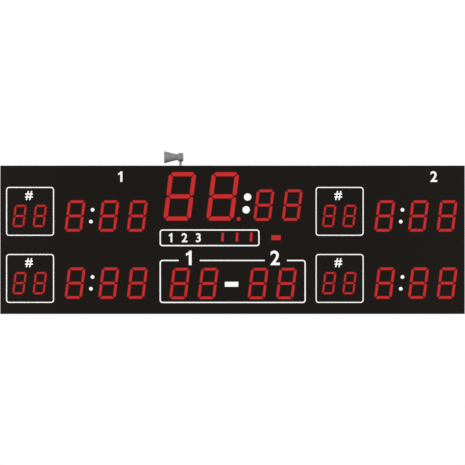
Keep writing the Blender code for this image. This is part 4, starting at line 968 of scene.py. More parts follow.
def chipPart(size, legs, pitch, rows=1):
    # moulded package with gull-wing legs along two sides, or with 2 rows along four
    width, depth, rise = size
    gap, thick, reach, shoulder = 0.0003, 0.00018, 0.0016, rise * 0.5
    part = standingBox((width, depth, rise - gap), foot=(0, 0, gap))
    for vertex in part.verts:
        if vertex.co.z > rise * 0.8:
            vertex.co.x *= 0.95
            vertex.co.y *= 0.93
    stamp(part, disc(depth * 0.05, 0, 0.0001, 10), [Vector((-width * 0.4, -depth * 0.33, rise - 0.00002))])
    leg = extruded([(0, shoulder), (reach * 0.45, shoulder), (reach * 0.6, thick), (reach, thick), (reach, 0),
                    (reach * 0.5, 0), (reach * 0.36, shoulder - thick), (0, shoulder - thick)],
                   -pitch * 0.18, pitch * 0.18, 1)
    sides = [(1, depth), (3, depth), (2, width), (4, width)][:2 * rows]
    spots = [Matrix.Rotation(quarter * turn, 4, "Z") @ Matrix.Translation((across / 2 - 0.0001, offset, 0))
             for turn, across in sides for offset in centred(legs, pitch)]
    return stamp(part, leg, spots)


def chipResistor(size=(0.0032, 0.0016, 0.0006), paint=0):
    width, depth, rise = size
    part = standingBox((width * 0.72, depth, rise), paint=paint)
    ends = easedBox((width * 0.16, depth * 1.02, rise * 1.05), paint=1)
    return stamp(part, ends, [Vector((side * width * 0.44, 0, rise / 2)) for side in (-1, 1)])


def canCapacitor(radius, height):
    groove = radius * 0.06
    rim, sunk = radius * 0.86, height - groove * 2.2
    can = turnedPart([(0, 0), (radius, 0), (radius, height * 0.08), (radius - groove, height * 0.12),
                      (radius, height * 0.17), (radius, height - groove * 2),
                      (radius - groove, height - groove), (rim, height - groove)], 20)
    stamp(can, turnedPart([(rim, height - groove), (radius * 0.84, sunk), (0, sunk)], 20, 1))
    slot = easedBox((radius * 1.3, radius * 0.1, 0.0001))
    return stamp(can, slot, [shift(Matrix(), z=height - groove * 2.1, turn=turn) for turn in (0.0, quarter)])


def boxHeader(width, depth, rise, pins):
    # shrouded header with a key slot in one long wall
    wall = depth * 0.12
    part = extruded(channel(width / 2, wall, 0, rise * 0.25, rise), -depth / 2, depth / 2)
    span, key = width / 2 - wall, width * 0.07
    for side, low, high in ((-1, -span, span), (1, -span, -key), (1, key, span)):
        foot = ((low + high) / 2, side * (depth / 2 - wall / 2), rise * 0.25)
        stamp(part, standingBox((high - low, wall, rise * 0.75), foot=foot))
    pin = easedBox((0.00064, 0.00064, rise * 0.55), 0.00012, 1, 1)
    return stamp(part, pin, [Vector((x, row * depth * 0.17, rise * 0.5))
                             for x in centred(pins, 2 * span / (pins + 1)) for row in (-1, 1)])


# Controller board

controller = {
    "standoff": 0.01,
    "standoffWidth": 0.0055,
    "edge": 0.008,             # of the screws from the board's edge
    "corner": 0.004,
    "headers": (0.038, 0.012, 0.012, 16),
    "headerPitch": 0.05,
    "headerUp": -0.058,
    "drivers": ((0.018, 0.0075, 0.0025), 14, 0.00127),
    "driverUp": -0.038,
    "processor": ((0.024, 0.024, 0.002), 20, 0.001, 2),
    "processorUp": -0.01,
    "gates": ((0.0098, 0.0039, 0.0016), 8, 0.00127),
    "gatesAt": [(-0.045, -0.008), (-0.045, 0.008), (0.04, 0.02, quarter), (-0.062, 0.022, quarter)],
    "relay": (0.03, 0.026, 0.016),
    "relayAt": (0.07, -0.013),
    "cellAt": (0.055, 0.04),
    "crystalsAt": [(-0.018, 0.024), (0.094, -0.042, quarter)],
    # x, height, radius, length
    "cans": [(-0.092, 0.03, 0.005, 0.013), (-0.092, 0.014, 0.005, 0.013), (-0.076, 0.048, 0.004, 0.011),
             (0.028, 0.05, 0.004, 0.011), (0.092, 0.016, 0.004, 0.011)],
    "terminals": (-0.04, 0.0592, 6),   # x, height, ways
    "terminalPitch": 0.00508,
}


def makeController():
    low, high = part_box("controller_board")
    middle = (low + high) / 2
    front = high.y - controller["standoff"] - laminate

    def on(x, z, turn=0.0, lift=0.0):
        return standOn((middle.x + x, front - lift, middle.z + z), toRoom, turn)

    sheet = easedBox((high.x - low.x, high.z - low.z, laminate))
    upright = [edge for edge in sheet.edges if abs(edge.verts[0].co.z - edge.verts[1].co.z) > laminate / 2]
    bevelled(sheet, upright, controller["corner"], 5)
    piece = assemble("controller_laminate", "cabinet", "circuit_board", "laminate",
                     (sheet, [on(0, 0, 0, -laminate / 2)]))
    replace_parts(piece, "controller_board")

    reachX, reachZ = [length / 2 - controller["edge"] for length in (high.x - low.x, high.z - low.z)]
    posts = [(x * reachX, z * reachZ) for x, z in ((-1, -1), (-1, 1), (1, -1), (1, 1), (0, 1))]
    feet = [on(x, z, 0, -laminate - controller["standoff"]) for x, z in posts]
    assemble("controller_posts", "cabinet", "stainless", "brass",
             (hexBlock(controller["standoffWidth"], controller["standoff"]), feet))
    assemble("controller_screws", *cabinetMetal,
             (drivenHead(0.003, 0.0022, "cross", 18), [on(x, z, x * 40) for x, z in posts]))

    slots = centred(4, controller["headerPitch"])
    assemble("controller_headers", *cabinetPlastic, "chipBlack brass",
             (boxHeader(*controller["headers"]), [on(x, controller["headerUp"]) for x in slots]))
    assemble("controller_chips", *cabinetPlastic, "chipBlack solderTin",
             (chipPart(*controller["drivers"]), [on(x, controller["driverUp"]) for x in slots]),
             (chipPart(*controller["processor"]), [on(0, controller["processorUp"])]),
             (chipPart(*controller["gates"]), [on(*place) for place in controller["gatesAt"]]))
    rows = [on(x + offset, -0.02, quarter) for x in slots for offset in centred(5, 0.0045)]
    rows += [on(-0.022 + 0.004 * step, 0.012) for step in range(3)]
    rows += [on(-0.03, -0.014 + 0.004 * step) for step in range(6)]
    rows += [on(x, 0.018 + 0.004 * step) for x in (0.016, 0.0215) for step in range(4)]
    assemble("controller_resistors", *cabinetPlastic, "resistorBlack solderTin", (chipResistor(), rows))
    assemble("controller_capacitors", *cabinetPlastic, "canSleeve solderTin",
             *[(canCapacitor(radius, height), [on(x, z)]) for x, z, radius, height in controller["cans"]])
    assemble("controller_relay", *cabinetPlastic, "relayBlue",
             (standingBox(controller["relay"], 0.0008, 2), [on(*controller["relayAt"])]))

    cell = turnedPart([(0, 0), (0.0105, 0), (0.0108, 0.0006), (0.0108, 0.0026), (0.01, 0.0034),
                       (0, 0.0034)], 32)
    clip = easedBox((0.0245, 0.004, 0.0008), 0.0002, at=(0, 0, 0.004))
    crystal = standingBox((0.011, 0.0045, 0.0034), 0.0014, 3)
    cellAt = [on(*controller["cellAt"])]
    assemble("controller_cell", *cabinetMetal, (cell, cellAt), (clip, cellAt),
             (crystal, [on(*place) for place in controller["crystalsAt"]]))

    x, z, ways = controller["terminals"]
    places = [on(x + controller["terminalPitch"] * step, z) for step in range(ways)]
    block = extruded([(-0.0042, 0), (0.0042, 0), (0.0042, 0.0085), (0.0022, 0.0098), (-0.0042, 0.0098)],
                     -0.0025, 0.0025, ease=0.0002)
    assemble("controller_terminals", *cabinetPlastic, "terminalGreen", (block, shifted(places, turn=quarter)))
    turned = [shift(place, z=0.0092, turn=step * 1.1) for step, place in enumerate(places)]
    assemble("controller_terminal_screws", *cabinetMetal, (drivenHead(0.0019, 0.001, "slot", 14), turned))


makeController()
print("controller board built")


# Power supply: tray, perforated cover, terminal strip

powerSupply = {
    "sheet": 0.001,
    "open": 0.034,          # from the right end to the cover's edge
    "wallDrop": 0.002,
    "cells": (26, 13),
    "cell": 0.0066,
    "hole": 0.0021,
    "lip": 0.009,
    "boardUp": 0.006,      # board above the tray's floor
    "boardRoom": (0.012, 0.006),
    # x, height, radius, length
    "cans": [(-0.085, -0.03, 0.011, 0.02), (-0.085, 0.0, 0.011, 0.02), (0.045, 0.035, 0.006, 0.018),
             (0.045, 0.018, 0.006, 0.018), (0.045, 0.001, 0.006, 0.018), (0.045, -0.016, 0.006, 0.018)],
    "coils": [((0.04, 0.034, 0.02), (-0.02, 0.02)), ((0.032, 0.028, 0.019), (-0.02, -0.026))],
    "strip": (0.019, 0.104, 0.0095),
    "stripInset": 0.0215,
    "ways": 9,
    "barrier": (0.0014, 0.0145),
    "plate": (0.0085, 0.0078, 0.0008),
}


def makeSupplyCover(coverLength, width, height):
    # a field of round holes, a plain border, lips folded over the tray and one closed end
    columns, rows = powerSupply["cells"]
    cell, sheet = powerSupply["cell"], powerSupply["sheet"]
    pattern = bmesh.new()
    bmesh.ops.create_circle(pattern, segments=8, radius=powerSupply["hole"])
    for vertex in bmesh.ops.create_circle(pattern, segments=8, radius=cell / 2)["verts"]:
        vertex.co *= cell / 2 / max(abs(vertex.co.x), abs(vertex.co.y))
    bmesh.ops.bridge_loops(pattern, edges=pattern.edges[:])
    spots = [Vector((x, y, 0)) for x in centred(columns, cell) for y in centred(rows, cell)]
    cover = stamp(bmesh.new(), pattern, spots)
    bmesh.ops.remove_doubles(cover, verts=cover.verts, dist=near)

    def pull(chosen, vec):
        # draws the open edges out whose corners are all chosen
        edges = [edge for edge in cover.edges if edge.is_boundary and
                 any(all(test(vertex.co) for vertex in edge.verts) for test in chosen)]
        corners = cornersOf(bmesh.ops.extrude_edge_only(cover, edges=edges))
        moved(cover, vec, corners)
        return corners

    fieldX, fieldY = columns * cell / 2, rows * cell / 2
    for vertex in pull([lambda spot: abs(abs(spot.x) - fieldX) < near,
                        lambda spot: abs(abs(spot.y) - fieldY) < near], (0, 0, 0)):
        if abs(vertex.co.x) > fieldX - near:
            vertex.co.x = math.copysign(coverLength / 2, vertex.co.x)
        if abs(vertex.co.y) > fieldY - near:
            vertex.co.y = math.copysign(width / 2 + sheet * 0.2, vertex.co.y)
    pull([lambda spot: abs(spot.y) > width / 2], (0, 0, -powerSupply["lip"]))
    pull([lambda spot: abs(spot.x + coverLength / 2) < near and spot.z > -near], (0, 0, 2 * sheet - height))
    bmesh.ops.recalc_face_normals(cover, faces=cover.faces)
    if sum(face.normal.z * face.calc_area() for face in cover.faces) < 0:
        bmesh.ops.reverse_faces(cover, faces=cover.faces)
    bmesh.ops.solidify(cover, geom=cover.faces[:], thickness=sheet * 0.8)
    return cover


def makePowerSupply():
    # returns the middles of the terminals
    low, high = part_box("power_supply")
    middle = (low + high) / 2
    length, width, height = high.x - low.x, high.z - low.z, high.y - low.y
    sheet = powerSupply["sheet"]
    boardY = high.y - powerSupply["boardUp"]

    def on(x, z):
        return standOn((middle.x + x, boardY - laminate / 2, middle.z + z), toRoom)

    outline = channel(width / 2, sheet, 0, sheet, height - powerSupply["wallDrop"])
    tray = extruded(outline, -length / 2, length / 2, ease=0.0002)
    piece = assemble("supply_tray", "cabinet", "zinc_steel", "trayZinc",
                     (tray, [standOn((middle.x, high.y, middle.z), toRoom, quarter)]))
    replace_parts(piece, "power_supply")
    coverLength = length - powerSupply["open"]
    assemble("supply_cover", "cabinet", "zinc_steel", "coverAluminium",
             (makeSupplyCover(coverLength, width, height),
              [standOn((low.x + coverLength / 2, low.y, middle.z), toRoom)]), sharp=25)
    board = easedBox((length - powerSupply["boardRoom"][0], width - powerSupply["boardRoom"][1], laminate))
    assemble("supply_laminate", "cabinet", "circuit_board", "laminate",
             (board, [standOn((middle.x, boardY, middle.z), toRoom)]))

    # inside, seen through the holes and at the open end
    assemble("supply_capacitors", *cabinetPlastic, "canSleeve solderTin",
             *[(canCapacitor(radius, tall), [on(x, z)]) for x, z, radius, tall in powerSupply["cans"]])
    assemble("supply_coils", *cabinetPlastic, "nylon",
             *[(standingBox(size, 0.0015, 2), [on(*place)]) for size, place in powerSupply["coils"]])

    wide, long, rise = powerSupply["strip"]
    ways, plate = powerSupply["ways"], powerSupply["plate"]
    pitch = long / ways * 0.985
    at = on(high.x - powerSupply["stripInset"] - middle.x, 0)
    fin = standingBox((wide, *powerSupply["barrier"]), 0.0003)
    assemble("supply_strip", *cabinetPlastic, "chipBlack", (standingBox((wide, long, rise), 0.0004), [at]),
             (fin, [shift(at, y=y) for y in centred(ways + 1, pitch)]))
    spots = [shift(at, 0.001, y, rise) for y in centred(ways, pitch)]
    turned = [shift(spot, z=plate[2], turn=index * 0.7) for index, spot in enumerate(spots)]
    assemble("supply_screws", *cabinetMetal, (standingBox(plate, 0.0002), spots),
             (drivenHead(0.0032, 0.0018, "cross", 18), turned))
    return [spot @ Vector((0, 0, 0.0012)) for spot in spots]


supplyTerminals = makePowerSupply()
print("power supply built")


# Backs of the LED boards

ledBack = {
    "pitch": 0.0105,
    "share": 0.86,           # of a segment's length that holds lights
    "spread": 0.00127,       # from a light's middle to its solder joints
    "joint": (0.001, 0.0012),
    "slant": 0.125,
    "window": 4.2,           # digit height to the height of its chips
    "large": 0.15,           # digits from here up have a capacitor too
    "minutes": [(-0.3267, 0.7292), (-0.0608, 0.7292)],
    "seconds": [(0.1947, 0.6749), (0.3706, 0.6749)],
    "score": [(x, 0.189) for x in (-0.3274, -0.1513, 0.1584, 0.3342)],
    "blockEdges": [-1.44, 0.4807],
    "lines": [0.6077, 0.1914],
    "numbers": [0.1188, 0.2446],
    "times": [0.4632, 0.6724, 0.8498],
    "heights": (0.3035, 0.1975, 0.141),
}


def digitPlaces():
    # (x, world z, height) of every digit
    high, middle, low = ledBack["heights"]
    found = [(x, z, high) for x, z in ledBack["minutes"]]
    found += [(x, z, middle) for x, z in ledBack["seconds"] + ledBack["score"]]
    for height, row in ((low, ledBack["numbers"]), (middle, ledBack["times"])):
        found += [(edge + x, z, height)
                  for edge in ledBack["blockEdges"] for z in ledBack["lines"] for x in row]
    return [(x, faceLow.z + z, height) for x, z, height in found]


def makeLedBacks():
    joints, chips, resistors, cans, small = [], [], [], [], []
    for middle, along, length in segmentAxes:
        side = Vector((-along.z, 0, along.x)) * ledBack["spread"]
        for offset in centred(max(1, round(length * ledBack["share"] / ledBack["pitch"])), ledBack["pitch"]):
            for spot in (middle + along * offset - side, middle + along * offset + side):
                joints.append(standOn((spot.x, laminateBack, spot.z), toWall))
    radius, rise = ledBack["joint"]
    cone = turnedPart([(radius, 0), (radius * 0.45, rise * 0.5), (radius * 0.3, rise), (0, rise)], 5)
    assemble("led_solder_joints", "front", "circuit_board", "solderTin", (cone, joints))
    print("solder joints:", len(joints))
    for x, z, height in digitPlaces():
        window = height / ledBack["window"]
        lean = ledBack["slant"] * window
        upper, lower = [standOn((x + way * lean, laminateBack, z + way * window), toWall) for way in (1, -1)]
        chips.append(shift(upper, y=-0.003))
        resistors += [shift(lower, offset, 0.006, turn=quarter) for offset in centred(8, 0.003)]
        small += [shift(upper, offset, 0.0065) for offset in (-0.006, 0.006)]
        if height > ledBack["large"]:
            cans.append(shift(lower, 0.007, -0.01))
            small += [shift(lower, -0.008, y) for y in (-0.01, -0.013)]
    assemble("led_driver_chips", *frontPlastic, "chipBlack solderTin",
             (chipPart((0.0179, 0.0075, 0.0024), 14, 0.00127), chips))
    assemble("led_resistors", *frontPlastic, "resistorBlack solderTin plugCream",
             (chipResistor(), resistors), (chipResistor((0.0032, 0.0025, 0.0013), 2), small))
    assemble("led_capacitors", *frontPlastic, "canSleeve solderTin", (canCapacitor(0.004, 0.0055), cans))


makeLedBacks()
print("LED boards' backs fitted")


# Horn: turned bell and driver, bent bracket, bolts

horn = {
    "sides": 96,
    "lip": 0.00125,         # radius of the rolled lip
    "wall": 0.0016,
    "neck": 0.019,
    "neckLength": 0.0035,
    "hollow": 0.0007,       # of the flare, which is nearly straight
    "plug": 0.008,
    "chamfer": 0.009,
    "back": 0.0022,         # round edge of the driver's back
    "screws": (0.0173, 4),  # radius of their circle, number
    "boss": (0.008, 0.0033, 0.012),   # radius, bore, depth of the bore
    "bracket": (0.016, 0.003, 0.0055),  # width, wall, outer bend
    "base": 0.014,
    "proud": 0.00002,       # the round foot stands out of the strip by this
    "boltHead": (0.01005, 0.004),
    "nutGap": 0.0003,
    "thread": (0.003, 0.001),
}


def arcPoints(centre, radius, start, end, steps):
    angles = [math.radians(start + (end - start) * step / steps) for step in range(steps + 1)]
    return [(centre[0] + radius * math.cos(angle), centre[1] + radius * math.sin(angle)) for angle in angles]


def makeBell():
    low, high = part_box("horn_bell")
    axis = (low + high) / 2
    mouth, wall, lip = (high.z - low.z) / 2, horn["wall"], horn["lip"]
    length, neck = high.x - low.x, horn["neck"]
    neckLow = length - horn["neckLength"]
    wide, begin = mouth - 0.0016, 2 * lip + 0.0004
    flare = [(wide + (neck - wide) * share - horn["hollow"] * math.sin(math.pi * share),
              begin + (neckLow - begin) * share) for share in spread(0, 1, 0.1)]
    rolled = arcPoints((mouth - lip, lip), lip, -150, 60, 12)
    profile = [(mouth - 2 * lip + 0.0002, lip * 1.4), *rolled, *flare,
               (neck + 0.0004, neckLow + 0.0008), (neck, neckLow + 0.0015), (neck, length - 0.0003),
               (neck - 0.0004, length), (neck - wall, length)]
    profile += [(radius - wall, along) for radius, along in reversed(flare[1:])] + profile[:1]
    shape = moved(turnedPart(profile, horn["sides"], axis="X"), (low.x, axis.y, axis.z))
    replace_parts(newPiece("horn_bell_turned", "horn", "horn_enamel", "hornEnamel", shape, 50), "horn_bell")
    return axis


def makeDriver(axis):
    low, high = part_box("horn_driver")
    radius, chamfer, back = (high.z - low.z) / 2, horn["chamfer"], horn["back"]
    face = low.x + horn["plug"]
    length, inner = high.x - face, radius - chamfer
    sunk = length - 0.0008
    profile = [(0, -0.008), (0.0034, -0.0078), (0.0054, -0.0056), (0.009, 0.0), (inner - 0.0005, 0.0),
               (inner + 0.0006, 0.0006), (radius - 0.0012, chamfer - 0.001),
               (radius - 0.0003, chamfer + 0.0004), (radius, chamfer + 0.0016), (radius, 0.0186),
               (radius - 0.0007, 0.0189), (radius - 0.0007, 0.0201), (radius, 0.0204),
               *arcPoints((radius - back, length - back), back, 0, 90, 6),
               (0.0222, length), (0.0216, sunk), (0.013, sunk), (0.0124, length), (0, length)]
    shape = moved(turnedPart(profile, horn["sides"], axis="X"), (face, axis.y, axis.z))
    boss, bore, depth = horn["boss"]
    end = high.y - axis.y
    bossPart = turnedPart([(0, end - depth), (bore, end - depth), (bore, end), (boss - 0.0005, end),
                           (boss, end - 0.0005), (boss, radius * 0.8), (boss + 0.0014, radius * 0.62),
                           (0, radius * 0.5)], 40, axis="Y")
    stamp(shape, bossPart, [Vector((middleOf("horn_pivot_bolt").x, axis.y, axis.z))])
    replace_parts(newPiece("horn_driver_turned", "horn", "horn_enamel", "hornEnamel", shape, 40), "horn_driver")
    reach, count = horn["screws"]
    turns = [math.tau * step / count + 0.5 for step in range(count)]
    places = [standOn((high.x - 0.0008, axis.y + math.cos(turn) * reach, axis.z + math.sin(turn) * reach),
                      (1, 0, 0), turn) for turn in turns]
    assemble("horn_driver_screws", "horn", "stainless", "brushedStainless",
             (drivenHead(0.0021, 0.0011, "cross", 16), places))


def makeHornBracket(axis):
    low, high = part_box("horn_bracket")
    width, wall, bend = horn["bracket"]
    base = Vector((middleOf("horn_base_bolt").x, axis.y, low.z))
    back, top = high.y - base.y, high.z - low.z
    outer, inner = [arcPoints((back - bend, bend), radius, start, end, 8)
                    for radius, start, end in ((bend, -90, 0), (bend - wall, 0, -90))]
    outline = [(0, 0), *outer, (back, top), (back - wall, top), *inner, (0, wall)]
    strip = extruded(outline, -width / 2, width / 2)
    bmesh.ops.rotate(strip, verts=strip.verts, cent=(0, 0, 0), matrix=Matrix.Rotation(quarter, 3, "Z"))
    tops = [edge for edge in strip.edges if all(vertex.co.z > top - near for vertex in edge.verts)
            and abs(edge.verts[0].co.y - edge.verts[1].co.y) > wall * 0.5]
    bevelled(strip, tops, width / 2 - 0.0001, 10)
    foot, proud = horn["base"], horn["proud"]
    plate = turnedPart([(0, -proud), (foot - 0.0004, -proud), (foot, 0.0004), (foot, wall - 0.0004),
                        (foot - 0.0004, wall + proud), (0, wall + proud)], 56)
    piece = assemble("horn_bracket_bent", "horn_swivel", "stainless", "brushedStainless",
                     (strip, [base]), (plate, [base]), sharp=30)
    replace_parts(piece, "horn_bracket")

    headWidth, rise = horn["boltHead"]
    radius, pitch = horn["thread"]
    low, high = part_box("horn_base_bolt")
    start, web = high.z - rise / 2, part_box("cabinet_frame_top")[1].z - cabinetWall - horn["nutGap"]
    head, thread = hexBlock(headWidth, rise, 0.0005), threadEnd(radius, start - low.z, pitch, 20)
    piece = assemble("horn_base_bolt_cut", "cabinet", "stainless", "brushedStainless",
                     (head, [Vector((base.x, base.y, z - rise)) for z in (high.z, web)]),
                     (thread, [standOn((base.x, base.y, start), downward)]))
    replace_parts(piece, "horn_base_bolt")
    low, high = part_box("horn_pivot_bolt")
    start = high.y - rise / 2
    head, thread = hexBlock(headWidth, rise, 0.0005), threadEnd(radius, start - low.y, pitch, 20)
    piece = assemble("horn_pivot_bolt_cut", "horn", "stainless", "brushedStainless",
                     (head, [standOn((base.x, high.y - rise, axis.z), toWall, 0.3)]),
                     (thread, [standOn((base.x, start, axis.z), toRoom)]))
    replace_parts(piece, "horn_pivot_bolt")


hornAxis = makeBell()
makeDriver(hornAxis)
makeHornBracket(hornAxis)
print("horn turned")


# Plates in the corners of the cabinet

cornerPlate = {
    "arm": 0.085,
    "width": 0.02,
    "sheet": 0.0015,
    "inset": 0.0045,
    "rivets": (0.024, 0.072),
}


def makeCornerPlates():
    arm, width, sheet = cornerPlate["arm"], cornerPlate["width"], cornerPlate["sheet"]
    outline = [(0, 0), (arm, 0), (arm, width * 0.6), (arm - width * 0.4, width), (width, width),
               (width, arm - width * 0.4), (width * 0.6, arm), (0, arm)]
    middle = (panelLow + panelHigh) / 2
    reach = panelHigh - middle - Vector((1, 0, 1)) * cornerPlate["inset"]
    places, heads = [], []
    for turn, wayX, wayZ in ((0, -1, -1), (-1, 1, -1), (2, 1, 1), (1, -1, 1)):
        start = Vector((middle.x + wayX * reach.x, flange, middle.z + wayZ * reach.z))
        places.append(Matrix.Translation(start) @ Matrix.Rotation(quarter * turn, 4, "Y"))
        for along in cornerPlate["rivets"]:
            heads += [standOn(start + Vector((-wayX * x, -sheet, -wayZ * z)), toRoom)
                      for x, z in ((along, width / 2), (width / 2, along))]
    assemble("corner_plates", "cabinet", "zinc_steel", "trayZinc",
             (extruded(outline, -sheet, 0, ease=0.0003), places))
    assemble("corner_rivets", *cabinetMetal, (rivetHead(0.0032, 0.0011), heads))


makeCornerPlates()


# Gas struts: rolled tube, polished rod, eyes and their plates' rivets

strut = {
    # (radius, along) from the middle of the lower eye
    "tube": [(0, 0.004), (0.005, 0.004), (0.005, 0.0192), (0.0064, 0.02), (0.0084, 0.0206),
             (0.009, 0.0224), (0.009, 0.229), (0.0086, 0.2298), (0.0085, 0.2306), (0.0086, 0.2314),
             (0.009, 0.2322), (0.009, 0.2478), (0.0086, 0.249), (0.0076, 0.2499), (0.007, 0.25)],
    "gland": [(0.007, 0.25), (0.0069, 0.2492), (0.0052, 0.2492), (0.005, 0.2499), (0.0043, 0.2499),
              (0.0043, 0.041), (0, 0.041)],
    "rodTail": 0.045,
    "eye": (0.008, 0.0043, 0.01),   # radius, bore, width
    "ease": 0.0006,
    "rod": 0.004,
    "plate": 0.003,
    "clear": 0.0003,
    "anchorRivets": (0.0105, 0.0195),
    "footInset": 0.0115,
    "footNuts": 0.019,
}


def makeStruts():
    radius, bore, width = strut["eye"]
    rod, plate, tail = strut["rod"], strut["plate"], strut["rodTail"]
    reachY, reachZ = strut["anchorRivets"]
    for side, sign, outer, inner in (("left", -1, 0, 1), ("right", 1, 1, 0)):
        tubeName, rodName = f"strut_tube_{side}", f"strut_rod_{side}"
        low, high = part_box(tubeName)
        foot = Vector(((low.x + high.x) / 2, high.y - radius, low.z + radius))
        low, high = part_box(rodName)
        head = Vector((foot.x, low.y + radius, high.z - radius))
        length = (head - foot).length
        at = standOn(foot, head - foot)
        tube = stamp(turnedPart(strut["tube"], 48), turnedPart(strut["gland"], 32, 1))
        eye = disc(radius, -width / 2, width / 2, 36, bore, strut["ease"])
        piece = assemble(tubeName + "_rolled", tubeName, "strut_paint", "strutPaint blackRubber",
                         (tube, [at]), (eye, [standOn(foot, (1, 0, 0))]), sharp=30)
        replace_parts(piece, tubeName)

        turned = turnedPart([(0, tail), (rod - 0.0005, tail), (rod, tail + 0.0005), (rod, length - 0.016),
                             (0.0032, length - 0.0155), (0.0032, length - 0.012), (0.005, length - 0.0118),
                             (0.005, length - radius / 2), (0, length - radius / 2)], 32)
        eye = disc(radius, -width / 2, width / 2, 36, ease=strut["ease"])
        pin = disc(rod, 0, width / 2 + plate - strut["clear"], 28)
        piece = assemble(rodName + "_turned", rodName, "stainless", "rodSteel", (turned, [at]),
                         (hexBlock(0.0086, 0.003), [shift(at, z=length - 0.0152)]),
                         (eye, [standOn(head, (1, 0, 0))]), (pin, [standOn(head, (-sign, 0, 0))]), sharp=30)
        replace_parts(piece, rodName)

        middle, x = middleOf(f"strut_anchor_{side}"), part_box(f"strut_anchor_{side}")[outer].x - sign * plate
        heads = [standOn((x, middle.y + y, middle.z + z), (-sign, 0, 0))
                 for y in (-reachY, reachY) for z in (-reachZ, reachZ)]
        assemble(f"strut_anchor_{side}_rivets", *cabinetMetal, (rivetHead(0.003, 0.0011), heads))
        box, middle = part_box(f"strut_bracket_{side}"), middleOf(f"strut_bracket_{side}")
        x = box[inner].x + sign * strut["footInset"]
        spots = [standOn((x, box[0].y + plate, middle.z + z), toWall, z * 50)
                 for z in (-strut["footNuts"], strut["footNuts"])]
        assemble(f"strut_bracket_{side}_nuts", *frontMetal, (washer(0.005, 0.0022, 0.0009), spots),
                 (hexBlock(0.007, 0.0034), shifted(spots, z=0.0009)), (threadEnd(0.002, 0.006), spots))


makeStruts()
print("struts turned")


# Marks on the rocker

def makeRockerMarks():
    # a ring on the half that leans one way, a bar on the other
    halves = {}
    for face in nodes["power_rocker"].data.polygons:
        if face.normal.z < -0.5:
            halves.setdefault(round(face.normal.x, 2), []).append(face)
    marks = []
    for key in sorted(halves)[:2]:
        area = sum(face.area for face in halves[key])
        middle = sum((face.center * face.area for face in halves[key]), Vector()) / area
        mark = washer(0.0024, 0.0018, 0.0001, 32) if not marks else standingBox((0.0007, 0.0048, 0.0001))
        marks.append((mark, [standOn(middle, halves[key][0].normal)]))
    assemble("rocker_marks", "rocker", "switch_plastic", "whiteFilm", *marks)


makeRockerMarks()
print("fittings done")


# Clamps that hold the LED boards to the face sheet

ledClamp = {
    "out": 0.006,            # stud, outside the board's edge
    "post": 0.0029,
    "sheet": 0.0012,
    "plate": (0.017, 0.01),
    "studAt": 0.005,         # from the plate's outer end
    "nut": (0.0055, 0.0024),
    "stud": (0.0015, 0.0048, 0.0008, 10),
    "pitch": 0.24,
    "sidePitch": 0.13,
    "endRoom": 0.045,
    "topRoom": 0.02,
    "roofRoom": 0.006,       # under the top frame
}
ledBoards = ["clock_led_board", "score_led_board", "period_led_board", "home_upper_led_board",
             "home_lower_led_board", "guest_upper_led_board", "guest_lower_led_board"]


def clampPlaces():
    # (x, z) of a stud and the way its plate points; a board near the top frame is held at its sides instead
    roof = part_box("front_frame_top")[0].z - ledClamp["roofRoom"]
    out, room = ledClamp["out"], ledClamp["endRoom"]
    found = []
    for low, high in map(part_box, ledBoards):
        xs = spread(low.x + room, high.x - room, ledClamp["pitch"])
        zs = spread(low.z + room, high.z - ledClamp["topRoom"], ledClamp["sidePitch"])
        found += [(x, low.z - out, 0, 1) for x in xs]
        if high.z + out < roof:
            found += [(x, high.z + out, 0, -1) for x in xs]
        else:
            found += [(x, z, way, 0) for x, way in ((low.x - out, 1), (high.x + out, -1)) for z in zs]
    return found


def makeClamps():
    rise, sheet = laminateBack - faceHigh.y, ledClamp["sheet"]
    length, width = ledClamp["plate"]
    places = [standOn((x, faceHigh.y, z), toWall, math.atan2(wayZ, -wayX))
              for x, z, wayX, wayZ in clampPlaces()]
    plate = standingBox((length, width, sheet), 0.0003, foot=(length / 2 - ledClamp["studAt"], 0, rise))
    assemble("clamp_posts", *frontPlastic, "nylon", (disc(ledClamp["post"], 0, rise, 16), places))
    assemble("clamp_plates", *frontMetal, (plate, places),
             (hexBlock(*ledClamp["nut"]), shifted(places, z=rise + sheet)),
             (threadEnd(*ledClamp["stud"]), shifted(places, z=rise)))
    print("board clamps:", len(places))


makeClamps()


# Wires and looms, laid on the panels and held by tie mounts

